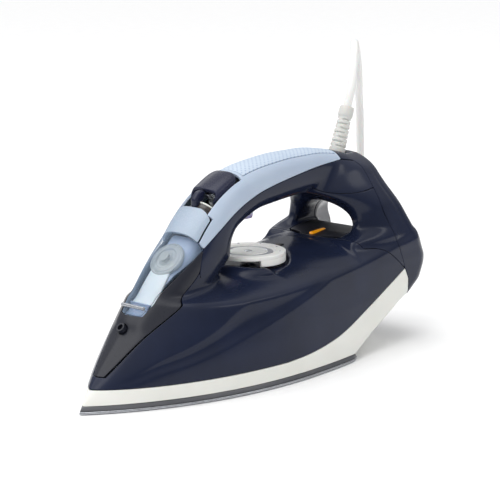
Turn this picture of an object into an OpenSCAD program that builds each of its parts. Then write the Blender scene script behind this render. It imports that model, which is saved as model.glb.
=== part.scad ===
// Steam iron with a tilting fill door, steam lever, push button, trigger and dial.
// X runs from the nose (low) to the heel (high), Y across, Z up from the sole.
// Profile points are written as [distance behind the nose datum, height].

/* [Sole and casting] */
// Half width of the soleplate
sole_half_w = 60; // [57:0.5:62]
// Thickness of the soleplate
sole_t = 2.2; // [1.6:0.1:2.6]
// Diameter of a steam hole
steam_hole_d = 3; // [1.5:0.1:3.4]
// Height of the casting's rim, where the skirt starts
skirt_z = 5.6; // [5.6:0.1:5.8]

/* [Shells] */
// Wall of the skirt
skirt_wall = 2.4; // [2:0.1:2.4]
// Wall of the tank, fascia and handle shells
wall = 2.8; // [2.6:0.1:3]
// Gap left at each seam between two shells
seam = 0.15; // [0.1:0.05:0.2]

/* [Fill door] */
// Radius of the door's hinge pin
door_pin_r = 1.25; // [1:0.05:1.4]
// Running clearance of the door on its pin
door_fit = 0.06; // [0.03:0.01:0.09]
// Radius of the fill plug
plug_r = 9.5; // [8.5:0.1:9.8]

/* [Steam controls] */
// Radius of the lever's drum
drum_r = 12.5; // [11.5:0.1:12.8]
// Travel of the push button
button_travel = 2.5; // [1.5:0.1:2.8]
// Travel of the steam trigger
trigger_travel = 4; // [2:0.1:4.2]

/* [Dial] */
// Radius of the dial's rim
dial_r = 27.5; // [26:0.1:28]
// Height of the dial's upper face
dial_z = 85.3; // [85:0.1:86]
// Radius of the dial's spindle
spindle_r = 3; // [2.5:0.1:3.2]

/* [Mains lead] */
// Diameter of the lead
lead_d = 6.6; // [6.2:0.1:6.8]
// Mean radius of the stored coil
coil_r = 40; // [39:0.5:41]
// Turns side by side in one layer of the coil
coil_across = 3; // [3:1:3]

/* [Hidden] */

navy = [0.09, 0.11, 0.17];
charcoal = [0.13, 0.13, 0.15];
pale_blue = [0.68, 0.75, 0.84];
ice_blue = [0.82, 0.88, 0.94];
off_white = [0.91, 0.91, 0.88];
steel = [0.72, 0.73, 0.75];
dark_metal = [0.3, 0.3, 0.32];
brass = [0.75, 0.6, 0.3];
clear_blue = [0.66, 0.76, 0.9, 0.55];
lilac = [0.6, 0.58, 0.75, 0.8];
amber = [1, 0.6, 0];

round_fn = 64;
far = 400;
origin_x = 166;

// ---- where things are ----------------------------------------------------------------
dial_x = 170;
hinge_at = [54, 64.5];
door_pivot = [hinge_at[0], 0, hinge_at[1]];
// Slope of the front column, measured from horizontal
column_a = 43;
drum_at = [123.7, 0, 116.2];
dose_x = 114;
button_at = [131, 0, 135];
button_a = 36;
trigger_at = [163, 0, 112];
guard_at = [272, 0, 146];
guard_lean = 20;
guard_l = 36;
coil_at = [300, 150];
plug_at = [230.6, 123.1];
plug_turn = -30;
plug_body_r = 18.5;
deck_slope = 5.8;

// ---- outline of the body at one height -------------------------------------------------
function lerp(a, b, t) = a + (b - a) * t;

nose_table = [
  [0, 4], [5.6, 6.5], [15.5, 13.5], [50, 44], [66, 57], [84, 74], [88, 230], [104, 226],
  [120, 214], [146, 238]
];
blunt_table = [[0, 0.93], [5.6, 0.9], [15.5, 0.74], [30, 0.62], [50, 0.53], [84, 0.5], [88, 1.2]];
width_table = [
  [0, sole_half_w], [5.6, sole_half_w - 1], [15.5, 57.5], [30, 56.5], [45, 55], [60, 54],
  [75, 52.5], [90, 49.5], [100, 46.5], [110, 43], [120, 37.5], [130, 31], [137, 26], [146, 14]
];
wide_table = [[0, 178], [15.5, 182], [50, 192], [84, 205], [88, 290], [110, 286], [146, 272]];
heel_table = [
  [0, 240], [5.6, 241], [35, 296], [39, 307], [48, 321], [60, 327.5], [66, 328], [79, 323],
  [96, 313.5], [116, 304], [133, 296], [146, 288]
];
corner_table = [[0, 22], [30, 18], [60, 16], [100, 16], [120, 18], [146, 9]];

function nose_x(z) = lookup(z, nose_table);
function blunt(z) = lookup(z, blunt_table);
function side_w(z) = lookup(z, width_table);
function wide_x(z) = lookup(z, wide_table);
function heel_x(z) = lookup(z, heel_table);
function corner_r(z) = lookup(z, corner_table);

// One side of the outline at height z, moved inwards by inset
function half_outline(z, inset, nose_n = 9) =
  let (
    n = nose_x(z) + 1.3 * inset,
    m = wide_x(z),
    e = min(heel_x(z - 1.1 * inset), heel_x(z + inset)) - 0.9 * inset,
    r = max(corner_r(z) - inset, 3),
    w = side_w(z) - inset,
    we = 0.97 * w
  )
  concat(
    [for (i = [0:nose_n]) let (t = pow(i / nose_n, 1.7))
      [lerp(n, m, t), w * pow(1 - pow(1 - t, 2.2), blunt(z))]],
    [for (i = [1:2]) [lerp(m, e - r, i / 2), lerp(w, we, i / 2)]],
    [for (i = [1:4]) let (a = 22.5 * i) [e - r + r * sin(a), we - r + r * cos(a)]],
    [[e + 1, 0]]
  );

// The whole outline, anticlockwise seen from above, starting at the nose
function outline(z, inset = 0, nose_n = 9) =
  let (h = half_outline(z, inset, nose_n), k = len(h))
  concat([for (p = h) [p[0], -p[1]]], [for (i = [k - 2:-1:1]) h[i]]);

// ---- lofts ---------------------------------------------------------------------------
// Closed skin through rings that have the same number of points
module loft(rings) {
  n = len(rings[0]);
  k = len(rings);
  sides = [for (j = [0:k - 2]) for (i = [0:n - 1])
    [j * n + i, (j + 1) * n + i, (j + 1) * n + (i + 1) % n, j * n + (i + 1) % n]];
  first = [for (i = [0:n - 1]) i];
  last = [for (i = [n - 1:-1:0]) (k - 1) * n + i];
  polyhedron([for (r = rings) for (p = r) p], concat([first, last], sides));
}

// Result of freeform cuts, kept as one closed skin
module moulded() {
  resize([0, 0, 0]) children();
}

body_levels = [5.6, 10, 15.5, 22, 30, 36, 42, 50, 58, 66, 75, 84, 88, 96, 104, 112, 120, 130, 138, 146];

module body_loft(inset) {
  loft([for (z = body_levels) [for (p = outline(z, inset)) [p[0], p[1], z]]]);
}

// Stations of the column and handle: upper line, lower line, half width
handle_stations = [
  [[46, 53], [95, 30], 15],
  [[57, 66], [104, 48], 19],
  [[69, 80], [113, 63], 21],
  [[82, 94], [126, 76], 21.5],
  [[94, 106], [138, 88], 21],
  [[103, 116], [138.5, 96], 20.5],
  [[113, 125.5], [142, 103.5], 19.8],
  [[125, 134.5], [149, 108], 19],
  [[140, 142.5], [158, 112], 18.5],
  [[158, 148], [170, 116], 18.2],
  [[180, 151.3], [186, 118], 18],
  [[205, 153.2], [205, 119.8], 18],
  [[230, 153.3], [225, 121.2], 18],
  [[252, 151], [244, 119], 18.2],
  [[271, 146.5], [264, 115], 18.5]
];

// Rounded section across the handle, between its upper and lower lines
function station_ring(s, inset, n = 20) =
  let (
    mid = (s[0] + s[1]) / 2,
    up = (s[0] - s[1]) / norm(s[0] - s[1]),
    h = norm(s[0] - s[1]) / 2 - inset,
    w = s[2] - inset
  )
  [for (i = [0:n - 1])
    let (
      a = 360 * i / n,
      c = sign(cos(a)) * pow(abs(cos(a)), 0.72),
      y = -sign(sin(a)) * pow(abs(sin(a)), 0.72) * w
    )
    [mid[0] + up[0] * h * c, y, mid[1] + up[1] * h * c]];

module handle_loft(inset) {
  loft([for (s = handle_stations) station_ring(s, inset)]);
}

// ---- profile masks, drawn in the XZ plane and drawn out across the width ---------------
module across(points, w = far) {
  translate([0, w / 2, 0])
    rotate([90, 0, 0])
      linear_extrude(w)
        offset(delta = -seam)
          polygon(points);
}

// Same, with true edges and no seam
module slab(points, w) {
  translate([0, w / 2, 0])
    rotate([90, 0, 0])
      linear_extrude(w)
        polygon(points);
}

skirt_line = [[150, 15.5], [175, 17], [202, 21], [216, 25], [231, 31], [291.5, 59]];
heel_seam = [[295.5, 50.6], [295, 40.7], [291, 34], [290, 20]];
rear_seam = [[291.5, 59], [282, 84], [275, 104.5], [272.6, 122.3]];
saddle_seam = [[291.5, 59], [274, 73.5], [262, 79], [248, 80]];
handle_seam = [[272.6, 122.3], [258, 119.8], [242, 120], [233, 122], [222, 127.5]];
blue_line = [
  [102.5, 99], [119, 110], [137.7, 120.5], [153, 127], [169, 132], [201, 137.8], [229, 142],
  [256.5, 143.8]
];
fascia_seam = [[102.5, 99], [98.5, 90], [97.3, 82.5], [75.5, 66.2], [56.3, 52.7], [45.2, 44.2], [22, 23]];
door_edge = [[52.3, 59.5], [57, 64], [65, 71.5], [80, 84], [102.5, 99]];

function turned(v) = [for (i = [len(v) - 1:-1:0]) v[i]];

// Space above the deck and in front of the rear legs
module deck_space(inset) {
  rotate_deck = [0, -deck_slope, 0];
  intersection() {
    translate([dial_x, 0, 80.2 - inset])
      rotate(rotate_deck)
        translate([-200, 0, 0])
          rotate([90, 0, 90])
            linear_extrude(far)
              polygon(concat(
                [[70, 100], [-70, 100]],
                [for (y = [-70:7:70]) [y, -0.0053 * y * y]]
              ));
    slab([
      [-40, 0], [236, 0], [237 + inset, 84], [247 + inset, 87], [254 + inset, 91],
      [257 + inset, 97], [256 + inset, 104], [250 + inset, 111], [241 + inset, 116.5],
      [229 + inset, 121.5], [212 + inset, 125], [212 + inset, 200], [-40, 200]
    ], far);
  }
}

// Archway between the legs, flaring out behind them
module archway(inset) {
  translate([236, 0, 0])
    rotate([90, 0, 90])
      linear_extrude(60)
        arch_outline(27.5 + inset, 21 + inset, 79);
  hull() {
    translate([281 - inset, 0, 0])
      rotate([90, 0, 90])
        linear_extrude(1)
          arch_outline(27.5 + inset, 21 + inset, 88 - inset);
    translate([344, 0, 0])
      rotate([90, 0, 90])
        linear_extrude(1)
          arch_outline(51.5 + inset, 38 + inset, 40 - inset);
  }
}

module arch_outline(half_w, rise, floor_z) {
  polygon(concat(
    [[-half_w, floor_z], [half_w, floor_z]],
    [for (a = [0:15:180]) [half_w * cos(a), 90 + rise * sin(a)]]
  ));
}

// Dished recess that the dial turns in
module dial_dish(inset) {
  translate([dial_x, 0, 75.2 - inset])
    cylinder(r = dial_r + 2.5 + inset, h = 60, $fn = 48);
}

// Everything inside the outer skin of tank, column, handle and rear
module outer_form(inset = 0) {
  difference() {
    body_loft(inset);
    deck_space(inset);
    archway(inset);
    intersection() {
      dial_dish(inset);
      slab([[100, 60], [236, 60], [236, 200], [100, 200]], 200);
    }
  }
  handle_loft(inset);
}

module placed() {
  translate([-origin_x, 0, 0]) children();
}

// Cylinder from one point to another
module rod(a, b, r, fn = 24) {
  d = b - a;
  l = norm(d);
  translate(a)
    rotate([0, acos(d[2] / l), atan2(d[1], d[0])])
      cylinder(r = r, h = l, $fn = fn);
}

// ---- sole and heat -----------------------------------------------------------------------
steam_rows = [for (i = [0:11]) for (s = [-1, 1]) [38 + 16 * i, s * (5 + 3.4 * i)]];

module soleplate() {
  color(steel) placed()
    difference() {
      union() {
        linear_extrude(sole_t - 0.8)
          polygon(outline(0, 0, 18));
        translate([0, 0, sole_t - 0.8])
          linear_extrude(0.8)
            polygon(outline(0, 0.8, 18));
      }
      for (p = steam_rows)
        translate([p[0], p[1], -1])
          cylinder(d = steam_hole_d, h = sole_t + 2, $fn = 20);
      translate([24, 0, -1])
        cylinder(d = steam_hole_d, h = sole_t + 2, $fn = 20);
    }
}

casting_top = 15;
element_r = 4;
element_leg_y = 26;
element_z = casting_top + 1.5;

module element_path(r) {
  for (s = [-1, 1])
    translate([100, s * element_leg_y, element_z])
      rotate([0, 90, 0])
        cylinder(r = r, h = 112, $fn = 32);
  translate([100, 0, element_z])
    rotate([0, 0, 90])
      rotate_extrude(angle = 180, $fn = round_fn)
        translate([element_leg_y, 0])
          circle(r = r, $fn = 32);
}

screw_places = [[58, 0], [222, 34], [222, -34]];

module heater_casting() {
  color(dark_metal) placed()
    difference() {
      union() {
        translate([0, 0, sole_t])
          linear_extrude(skirt_z - sole_t - 0.1)
            polygon(outline(0, 2.6, 18));
        translate([0, 0, sole_t])
          linear_extrude(casting_top - sole_t)
            polygon(outline(0, 13, 18));
      }
      element_path(element_r + 0.2);
      for (p = screw_places)
        translate([p[0], p[1], 6])
          cylinder(r = 2, h = 20, $fn = 24);
    }
}

module heating_element() {
  color(steel) placed() {
    element_path(element_r);
    for (s = [-1, 1])
      translate([212, s * element_leg_y, element_z])
        rotate([0, 90, 0])
          cylinder(r = 1.6, h = 12, $fn = 24);
  }
}

module steam_chamber_lid() {
  color(dark_metal) placed()
    translate([0, 0, casting_top])
      difference() {
        union() {
          linear_extrude(1.6)
            polygon([[84, -8], [92, -15], [104, -18], [150, -18], [150, 18], [104, 18], [92, 15], [84, 8]]);
          translate([dose_x, 0, 0])
            cylinder(r = 6, h = 7.4, $fn = 32);
        }
        translate([dose_x, 0, -1])
          cylinder(r = 2.5, h = 12, $fn = 24);
      }
}

module casting_screws() {
  color(steel) placed()
    for (p = screw_places)
      translate([p[0], p[1], 0]) {
        translate([0, 0, 7])
          cylinder(r = 1.98, h = casting_top - 7 + 0.1, $fn = 24);
        translate([0, 0, casting_top])
          cylinder(r = 3.6, h = 2.6, $fn = 32);
      }
}

module thermostat() {
  color(off_white) placed()
    difference() {
      union() {
        translate([dial_x - 12, -8, casting_top])
          cube([24, 16, 7]);
        translate([dial_x, 0, casting_top + 7])
          cylinder(r = 6.5, h = 2.4, $fn = 32);
      }
      translate([dial_x, 0, casting_top + 4])
        cylinder(r = spindle_r + 0.06, h = 30, $fn = round_fn);
    }
}

module thermal_fuse() {
  color(steel) placed() {
    translate([196, -12, casting_top + 2.2])
      rotate([-90, 0, 0])
        cylinder(r = 2.2, h = 24, $fn = 32);
    for (s = [-1, 1])
      translate([196, 12 * s, casting_top + 2.2])
        rotate([-90 * s, 0, 0])
          cylinder(r = 0.7, h = 8, $fn = 24);
  }
}

shield_z = 22;

module heat_shield() {
  color(off_white) placed()
    difference() {
      translate([0, 0, shield_z])
        linear_extrude(1.2)
          polygon(outline(24, 4.8, 18));
      translate([dial_x, 0, shield_z - 1])
        cylinder(r = 7.5, h = 4, $fn = 48);
      translate([dose_x, 0, shield_z - 1])
        cylinder(r = 7, h = 4, $fn = 48);
      translate([252, -60, shield_z - 1])
        cube([60, 120, 4]);
    }
}

module skirt() {
  color(off_white) placed() moulded()
    difference() {
      intersection() {
        body_loft(0);
        across(concat([[-20, 0], [-20, 15.5]], skirt_line, heel_seam, [[290, 0]]));
      }
      body_loft(skirt_wall);
      linear_extrude(2 * (skirt_z + skirt_wall), center = true)
        polygon(outline(0, 4.6, 9));
    }
}

// ---- tank and front ------------------------------------------------------------------------
tank_profile = concat(
  [[-20, 15.5]], skirt_line, saddle_seam, [[240, 90], [140, 84], [97.3, 80]],
  [[97.3, 80], [75.5, 66.2], [56.3, 52.7], [45.2, 44.2], [22, 23], [-20, 23]]
);
tank_floor_z = 25;

module water_tank() {
  color(navy) placed() moulded()
    difference() {
      union() {
        difference() {
          intersection() {
            outer_form();
            across(tank_profile);
          }
          outer_form(wall);
        }
        difference() {
          intersection() {
            outer_form(wall - 0.3);
            slab([[44, tank_floor_z], [253, tank_floor_z], [253, 75], [250, 75],
              [250, tank_floor_z + 2.4], [44, tank_floor_z + 2.4]], 200);
          }
          translate([dose_x, 0, 0])
            cylinder(r = 3, h = 60, $fn = 24);
        }
        translate([dial_x, 0, tank_floor_z])
          cylinder(r = 7, h = 74.5 - tank_floor_z, $fn = 24);
      }
      translate([dial_x, 0, 0])
        cylinder(r = 4.8, h = 80, $fn = 24);
    }
}

module front_fascia() {
  color(charcoal) placed() moulded()
    difference() {
      intersection() {
        outer_form();
        across(concat(fascia_seam, [[-20, 23], [-20, 59.5]], door_edge));
      }
      outer_form(wall);
      translate([44.4, 0, 50.4])
        rotate([0, -48, 0])
          cylinder(r = 3.4, h = 40, center = true, $fn = 24);
      translate([hinge_at[0] - 4.6, -11.2, hinge_at[1] - 6])
        cube([14, 22.4, 14]);
    }
}

module spray_nozzle() {
  color(charcoal) placed()
    translate([44.4, 0, 50.4])
      rotate([0, -48, 0])
        difference() {
          union() {
            cylinder(r = 3.2, h = 3.4, $fn = 48);
            translate([0, 0, -6])
              cylinder(r = 2.6, h = 6.1, $fn = 48);
          }
          translate([0, 0, 0.8])
            cylinder(r = 2.1, h = 4, $fn = 32);
          translate([0, 0, -7])
            cylinder(r = 0.6, h = 12, $fn = 24);
        }
}

door_profile = concat(door_edge, [[93.8, 115.2], [92, 128], [20, 90], [20, 59.5]]);
door_wall = 2.2;

module door_shell_form() {
  moulded()
    difference() {
      intersection() {
        handle_loft(0);
        across(concat([[53, 60.8], [57, 64.6], [65, 72], [80, 84.6], [101.6, 99]],
          [[93.8, 114.6], [92, 128], [20, 90], [20, 60.8]]));
      }
      handle_loft(door_wall);
      translate([hinge_at[0] - 3.2, -60, hinge_at[1] - 3.2])
        cube([6.4, 120, 6.4]);
      translate([20, -60, 50])
        cube([hinge_at[0] - 20 + 2, 120, 14.5]);
    }
}

module fill_door() {
  color(clear_blue) placed()
    difference() {
      union() {
        door_shell_form();
        translate(plug_centre)
          rotate([0, -45, 0])
            translate([0, 0, 2.1])
              cylinder(r = 4, h = 1.9, $fn = 48);
        for (s = [-1, 1])
          translate([hinge_at[0], s * 5, hinge_at[1]])
            rotate([90, 0, 0])
              cylinder(r = 2.9, h = 5, center = true, $fn = 48);
        for (s = [-1, 1])
          translate([hinge_at[0], s * 5 - 2.5, hinge_at[1]])
            rotate([0, -44, 0])
              translate([0, 0, -2.2])
                cube([13, 5, 4.4]);
      }
      translate([hinge_at[0], 0, hinge_at[1]])
        rotate([90, 0, 0])
          cylinder(r = door_pin_r + door_fit, h = 30, center = true, $fn = round_fn);
    }
}

plug_centre = [86.7, 0, 91.7];

module fill_plug() {
  color([0.8, 0.84, 0.84, 0.6]) placed()
    translate(plug_centre)
      rotate([0, -45, 0])
        rotate_extrude($fn = round_fn)
          polygon([[0, -4.5], [7, -4.5], [8, -3.5], [8, -1], [plug_r, -1], [plug_r, 0.8],
            [8, 1.6], [6.5, 2.1], [0, 2.1]]);
}

module door_hinge_pin() {
  color(steel) placed()
    translate([hinge_at[0], 0, hinge_at[1]])
      rotate([90, 0, 0])
        cylinder(r = door_pin_r, h = 21, center = true, $fn = round_fn);
}

module fill_well() {
  color(off_white) placed()
    difference() {
      union() {
        slab([[60, 63.5], [64, 60], [102, 92], [98, 96], [93, 92.4], [78.2, 77.8]], 22);
        for (s = [-1, 1])
          translate([hinge_at[0], s * 9.2, hinge_at[1]])
            rotate([90, 0, 0])
              cylinder(r = 2.6, h = 2.8, center = true, $fn = 48);
        for (s = [-1, 1])
          translate([0, s * 9.2, 0])
            slab([[53, 62.2], [62, 59], [70, 66], [62, 68]], 2.8);
      }
      translate([hinge_at[0], 0, hinge_at[1]])
        rotate([90, 0, 0])
          cylinder(r = door_pin_r + 0.005, h = 30, center = true, $fn = round_fn);
      translate(plug_centre)
        rotate([0, -45, 0])
          translate([0, 0, -5.5])
            cylinder(r = 8.4, h = 12, $fn = round_fn);
      translate(plug_centre)
        rotate([0, -45, 0])
          translate([0, 0, -30])
            cylinder(r = 5.5, h = 40, $fn = 48);
    }
}

// ---- steam controls ---------------------------------------------------------------------
channel_w = 28;

module steam_sleeve() {
  color(ice_blue) placed() moulded()
    difference() {
      intersection() {
        handle_loft(0);
        across([[101.5, 99.2], [94.2, 113.6], [92, 130], [104, 134], [112.8, 124.5], [112.4, 118], [110.5, 104.5]]);
        translate([90, -17.2, 90])
          cube([40, 34.4, 60]);
      }
      handle_loft(2.2);
      along_column()
        cylinder(r = drum_r + 0.5, h = 60, center = true, $fn = 48);
    }
}

module along_column(at = drum_at) {
  translate(at) rotate([0, 90 - column_a, 0]) children();
}

drum_top = 2.6;
fin_points = [[113.3, 124], [112.3, 129.8], [116.4, 134.6], [119, 135.4], [122.5, 135.2],
  [122.7, 134], [122.7, 130.5], [118.5, 125.5], [120, 120]];

module steam_drum() {
  color([0.16, 0.12, 0.12]) placed()
    along_column()
      difference() {
        translate([0, 0, -14])
          cylinder(r = drum_r, h = 14 + drum_top, $fn = round_fn);
        translate([0, 0, -20])
          cylinder(r = 4.06, h = 40, $fn = round_fn);
      }
}

module steam_lever() {
  color(navy) placed()
    difference() {
      slab(fin_points, 2.4);
      along_column()
        translate([0, 0, -14])
          cylinder(r = drum_r, h = 14 + drum_top + 1.8, $fn = round_fn);
    }
}

module drum_ring() {
  color(off_white) placed()
    along_column()
      union() {
        translate([0, 0, drum_top + 0.3])
          cylinder(r = drum_r, h = 1.2, $fn = round_fn);
        translate([0, 0, -22])
          cylinder(r = 4, h = 22.4 + drum_top, $fn = round_fn);
      }
}

module dosing_rod() {
  color(steel) placed() {
    translate([dose_x, 0, 26])
      cylinder(r = 1.5, h = 72, $fn = 24);
  }
}

module dosing_valve() {
  color([0.75, 0.3, 0.2]) placed()
    translate([dose_x, 0, 22.5])
      difference() {
        union() {
          cylinder(r = 6, h = 2.4, $fn = 32);
          cylinder(r = 2.9, h = 7, $fn = 32);
        }
        translate([0, 0, 3.5])
          cylinder(r = 1.55, h = 5, $fn = 24);
      }
}

module tilted_button() {
  translate(button_at) rotate([0, -button_a, 0]) children();
}

// Room for the lever's fin as it swings in front of the button
module fin_room() {
  along_column()
    intersection() {
      translate([0, 0, -10])
        cylinder(r = 20, h = 22.9, $fn = 48);
      translate([0, 0, -10])
        linear_extrude(40)
          polygon([[4, 0], [-30, 27], [-30, -27]]);
    }
}

module button_cap() {
  color(charcoal) placed()
    difference() {
      tilted_button() {
        hull() {
          for (s = [-1, 1]) {
            translate([-7, s * 6.5, 0])
              cylinder(r = 6.5, h = 3.4, $fn = 32);
            translate([11.5, s * 6.5, 0])
              cylinder(r = 6.5, h = 1.6, $fn = 32);
            translate([-4, s * 4.5, 0])
              cylinder(r = 6.5, h = 5.6, $fn = 32);
            translate([6, s * 4.5, 0])
              cylinder(r = 6.5, h = 4.4, $fn = 32);
          }
        }
        translate([0, 0, -4])
          cylinder(r = 4, h = 4.1, $fn = 32);
      }
      fin_room();
      along_column()
        translate([0, 0, -20])
          cylinder(r = drum_r + 1.2, h = 20 + drum_top + 2.2, $fn = 48);
    }
}

// Coil spring as one closed sleeve of its outer shape
module spring_sleeve(r, l) {
  difference() {
    cylinder(r = r, h = l, $fn = 32);
    translate([0, 0, -1])
      cylinder(r = r - 1, h = l + 2, $fn = 32);
  }
}

module button_spring() {
  color(steel) placed()
    tilted_button()
      translate([0, 0, -9.5])
        spring_sleeve(5.4, 9.4);
}

module spray_pump() {
  color(off_white) placed()
    tilted_button() {
      translate([0, 0, -20])
        cylinder(r = 6, h = 10.4, $fn = 32);
      translate([0, 0, -9.6])
        cylinder(r = 2.2, h = 2.6, $fn = 32);
    }
}

module spray_tube() {
  color(off_white) placed() {
    tube([[140, 5, 116], [136, 9, 110], [116, 13.2, 94], [97, 14.5, 76], [78, 12, 62], [60, 7, 50],
      [51, 0.5, 45]], 1.6);
  }
}

module boost_pump() {
  color(off_white) placed()
    translate([150, 0, 134])
      rotate([0, 80, 0])
        cylinder(r = 5.5, h = 24, $fn = 32);
}

module boost_tube() {
  color(off_white) placed() {
    tube([[154.5, -4.6, 130.6], [149.5, -8.6, 126], [141, -9, 116.5], [124, -9, 100], [115.5, -9, 91],
      [112.5, -9, 80], [112, -9, 66], [112, -9, 28]], 1.6);
  }
}

// ---- handle --------------------------------------------------------------------------------
module handle_upper() {
  color(pale_blue) placed() moulded()
    difference() {
      intersection() {
        handle_loft(0);
        across(concat(blue_line, [[255.5, 150], [255.5, 170], [80, 170], [94.4, 114]]));
      }
      handle_loft(wall);
      translate([80, -17.4, 90])
        rotate([0, 0, 0])
          slab_channel();
      intersection() {
        translate([0, -13.2, 100])
          cube([far, 26.4, 100]);
        difference() {
          slab([[146, 100], [146, 200], [254, 200], [254, 100]], 60);
          handle_loft(1.6);
        }
      }
    }
}

// Channel for the sleeve, drum and button on top of the column
module slab_channel() {
  translate([-80, 17.4, -90]) {
    slab([[80, 120], [94.4, 113.5], [101.5, 99.2], [113, 106], [118, 112.5], [109, 125], [100, 140]], 34.8);
    slab([[104, 120], [116, 108], [128, 118], [147, 132], [147, 160], [96, 150]], channel_w);
  }
}

module grip_insert() {
  color(ice_blue) placed() moulded()
    difference() {
      intersection() {
        handle_loft(-0.25);
        translate([0, -12.9, 100])
          cube([far, 25.8, 100]);
        slab([[150.5, 140], [148.5, 160], [253.4, 170], [253.4, 140]], 60);
      }
      handle_loft(1.5);
    }
}

handle_lower_profile = concat(
  [[97.3, 80], [97.3, 82.5], [98.5, 90]], blue_line,
  [[268, 142], [270.8, 138], [272, 130]], handle_seam, [[218, 124.5], [219, 100], [150, 84.6], [140, 84]]
);
trigger_slot = [15.6, 13.2];

module handle_lower() {
  color(navy) placed() moulded()
    difference() {
      intersection() {
        outer_form();
        across(handle_lower_profile);
      }
      outer_form(wall);
      translate([trigger_at[0], 0, trigger_at[2]])
        cube([trigger_slot[0], trigger_slot[1], 24], center = true);
    }
}

module steam_trigger() {
  color(lilac) placed()
    translate(trigger_at) {
      hull() {
        translate([-6.8, -5.6, 1])
          cube([13.6, 11.2, 2]);
        translate([-4, -5, -2.6])
          cube([10.4, 10, 1]);
      }
      translate([-6.8, -5.6, 2.9])
        cube([13.6, 11.2, 5.1]);
      translate([-8.6, -7.4, 8])
        cube([17.2, 14.8, 1.5]);
    }
}

module trigger_spring() {
  color(steel) placed()
    translate([trigger_at[0], 0, trigger_at[2] + 9.6])
      spring_sleeve(3.6, 8.6);
}

// ---- dial and deck -------------------------------------------------------------------------
module thermostat_dial() {
  color(off_white) placed()
    translate([dial_x, 0, 0])
      difference() {
        union() {
          rotate_extrude($fn = 96)
            polygon([
              [0, dial_z - 3], [dial_r, dial_z - 3], [dial_r, dial_z - 0.6], [dial_r - 0.6, dial_z],
              [dial_r - 7, dial_z], [dial_r - 8, dial_z - 1.2], [0, dial_z - 1.2]
            ]);
          translate([0, 0, dial_z - 8])
            cylinder(r = 6, h = 6, $fn = 48);
          intersection() {
            translate([0, 0, dial_z - 7.6])
              difference() {
                cylinder(r = dial_r, h = 5, $fn = 96);
                translate([0, 0, -1])
                  cylinder(r = dial_r - 3, h = 7, $fn = 96);
              }
            translate([0, 0, dial_z - 10])
              linear_extrude(10)
                polygon([[0, 0], [60 * cos(-118), 60 * sin(-118)], [60, -60], [60 * cos(10), 60 * sin(10)]]);
          }
        }
        translate([0, 0, dial_z - 9])
          cylinder(r = spindle_r - 0.005, h = 6.5, $fn = round_fn);
      }
}

module dial_spindle() {
  color(steel) placed()
    translate([dial_x, 0, casting_top + 4.2])
      cylinder(r = spindle_r, h = dial_z - 3 - casting_top - 4.2, $fn = round_fn);
}

module dial_pointer() {
  color([0.02, 0.02, 0.02]) placed()
    translate([203.4, -3, 83.65])
      rotate([0, -deck_slope, 0])
        cube([3.2, 6, 0.8]);
}

deck_at = [226, 82.5];

module deck_panel() {
  color(charcoal) placed()
    difference() {
      slab([[238, 80.6], [281, 83.4], [281, 88.9], [272, 88.6], [238, 86.4]], 54.6);
      slab([[241, 84.6], [258, 85.8], [258, 95], [241, 95]], 3.4);
    }
}

module lamp_lens() {
  color(amber) placed()
    slab([[241.2, 84.7], [257.8, 85.9], [257.8, 88.1], [241.2, 87]], 3);
}

module lamp_board() {
  color([0.1, 0.35, 0.2]) placed()
    translate([240, -8, 76.6])
      rotate([0, -3.5, 0])
        cube([22, 16, 1.6]);
}

// ---- rear ------------------------------------------------------------------------------------
module rear_frame() {
  color(navy) placed() moulded()
    difference() {
      intersection() {
        outer_form();
        across(concat(turned(saddle_seam), [[282, 84], [275, 104.5], [272.6, 122.3]],
          handle_seam, [[218, 124.5], [219, 100], [240, 90]]));
      }
      outer_form(wall);
      slab([[230, 70], [290, 70], [290, 89.5], [230, 87]], 55);
    }
}

module rear_cover() {
  color(navy) placed() moulded()
    difference() {
      intersection() {
        outer_form();
        across(concat(
          [[256, 170], [256, 150], [257, 144], [268, 142], [270.8, 138], [272, 130]],
          turned(rear_seam), heel_seam, [[345, 20], [345, 170]]
        ));
      }
      outer_form(wall);
      translate(guard_at)
        rotate([0, guard_lean, 0])
          translate([0, 0, -20])
            cylinder(r = 6.6, h = 40, $fn = 32);
      translate([280, 0, 46])
        rotate([0, 90, 0])
          cylinder(r = 2.3, h = 80, $fn = 24);
    }
}

module rear_screw() {
  color(steel) placed()
    translate([0, 0, 46]) {
      translate([304, 0, 0])
        rotate([0, 90, 0])
          cylinder(r = 2.2, h = 9, $fn = 24);
    }
}

module terminal_block() {
  color(off_white) placed()
    difference() {
      translate([253, -15, 48])
        cube([20, 30, 14]);
      for (y = [-9, 0, 9])
        translate([250, y, 55])
          rotate([0, 90, 0])
            cylinder(r = 2, h = 40, $fn = 24);
    }
}

lead_run = [
  [267.3, 0, 133], [268, 6, 128], [271, 20, 122], [276, 31, 113], [281, 37, 103], [285, 43, 87],
  [283, 41, 68], [279, 26, 59], [275.6, 9.5, 56]
];

module inner_leads() {
  color([0.5, 0.35, 0.2]) placed() {
    tube(lead_run, 1.8);
  }
}

module lead_axis() {
  translate(guard_at)
    rotate([0, guard_lean, 0])
      children();
}

module cord_guard() {
  color(off_white) placed()
    lead_axis()
      rotate_extrude($fn = 48)
        polygon([
          [lead_d / 2 + 0.1, -6], [9, -6], [9, -3.6], [6.3, -3.6], [6.3, 2], [5.1, guard_l - 9],
          [5.5, guard_l - 8], [5.2, guard_l], [lead_d / 2 + 0.1, guard_l]
        ]);
}

module cord_clamp() {
  color(off_white) placed()
    lead_axis()
      translate([0, 0, -11.2])
        difference() {
          cylinder(r = 7.5, h = 4.8, $fn = 48);
          translate([0, 0, -1])
            cylinder(r = lead_d / 2 + 0.1, h = 8, $fn = 48);
        }
}

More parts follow.
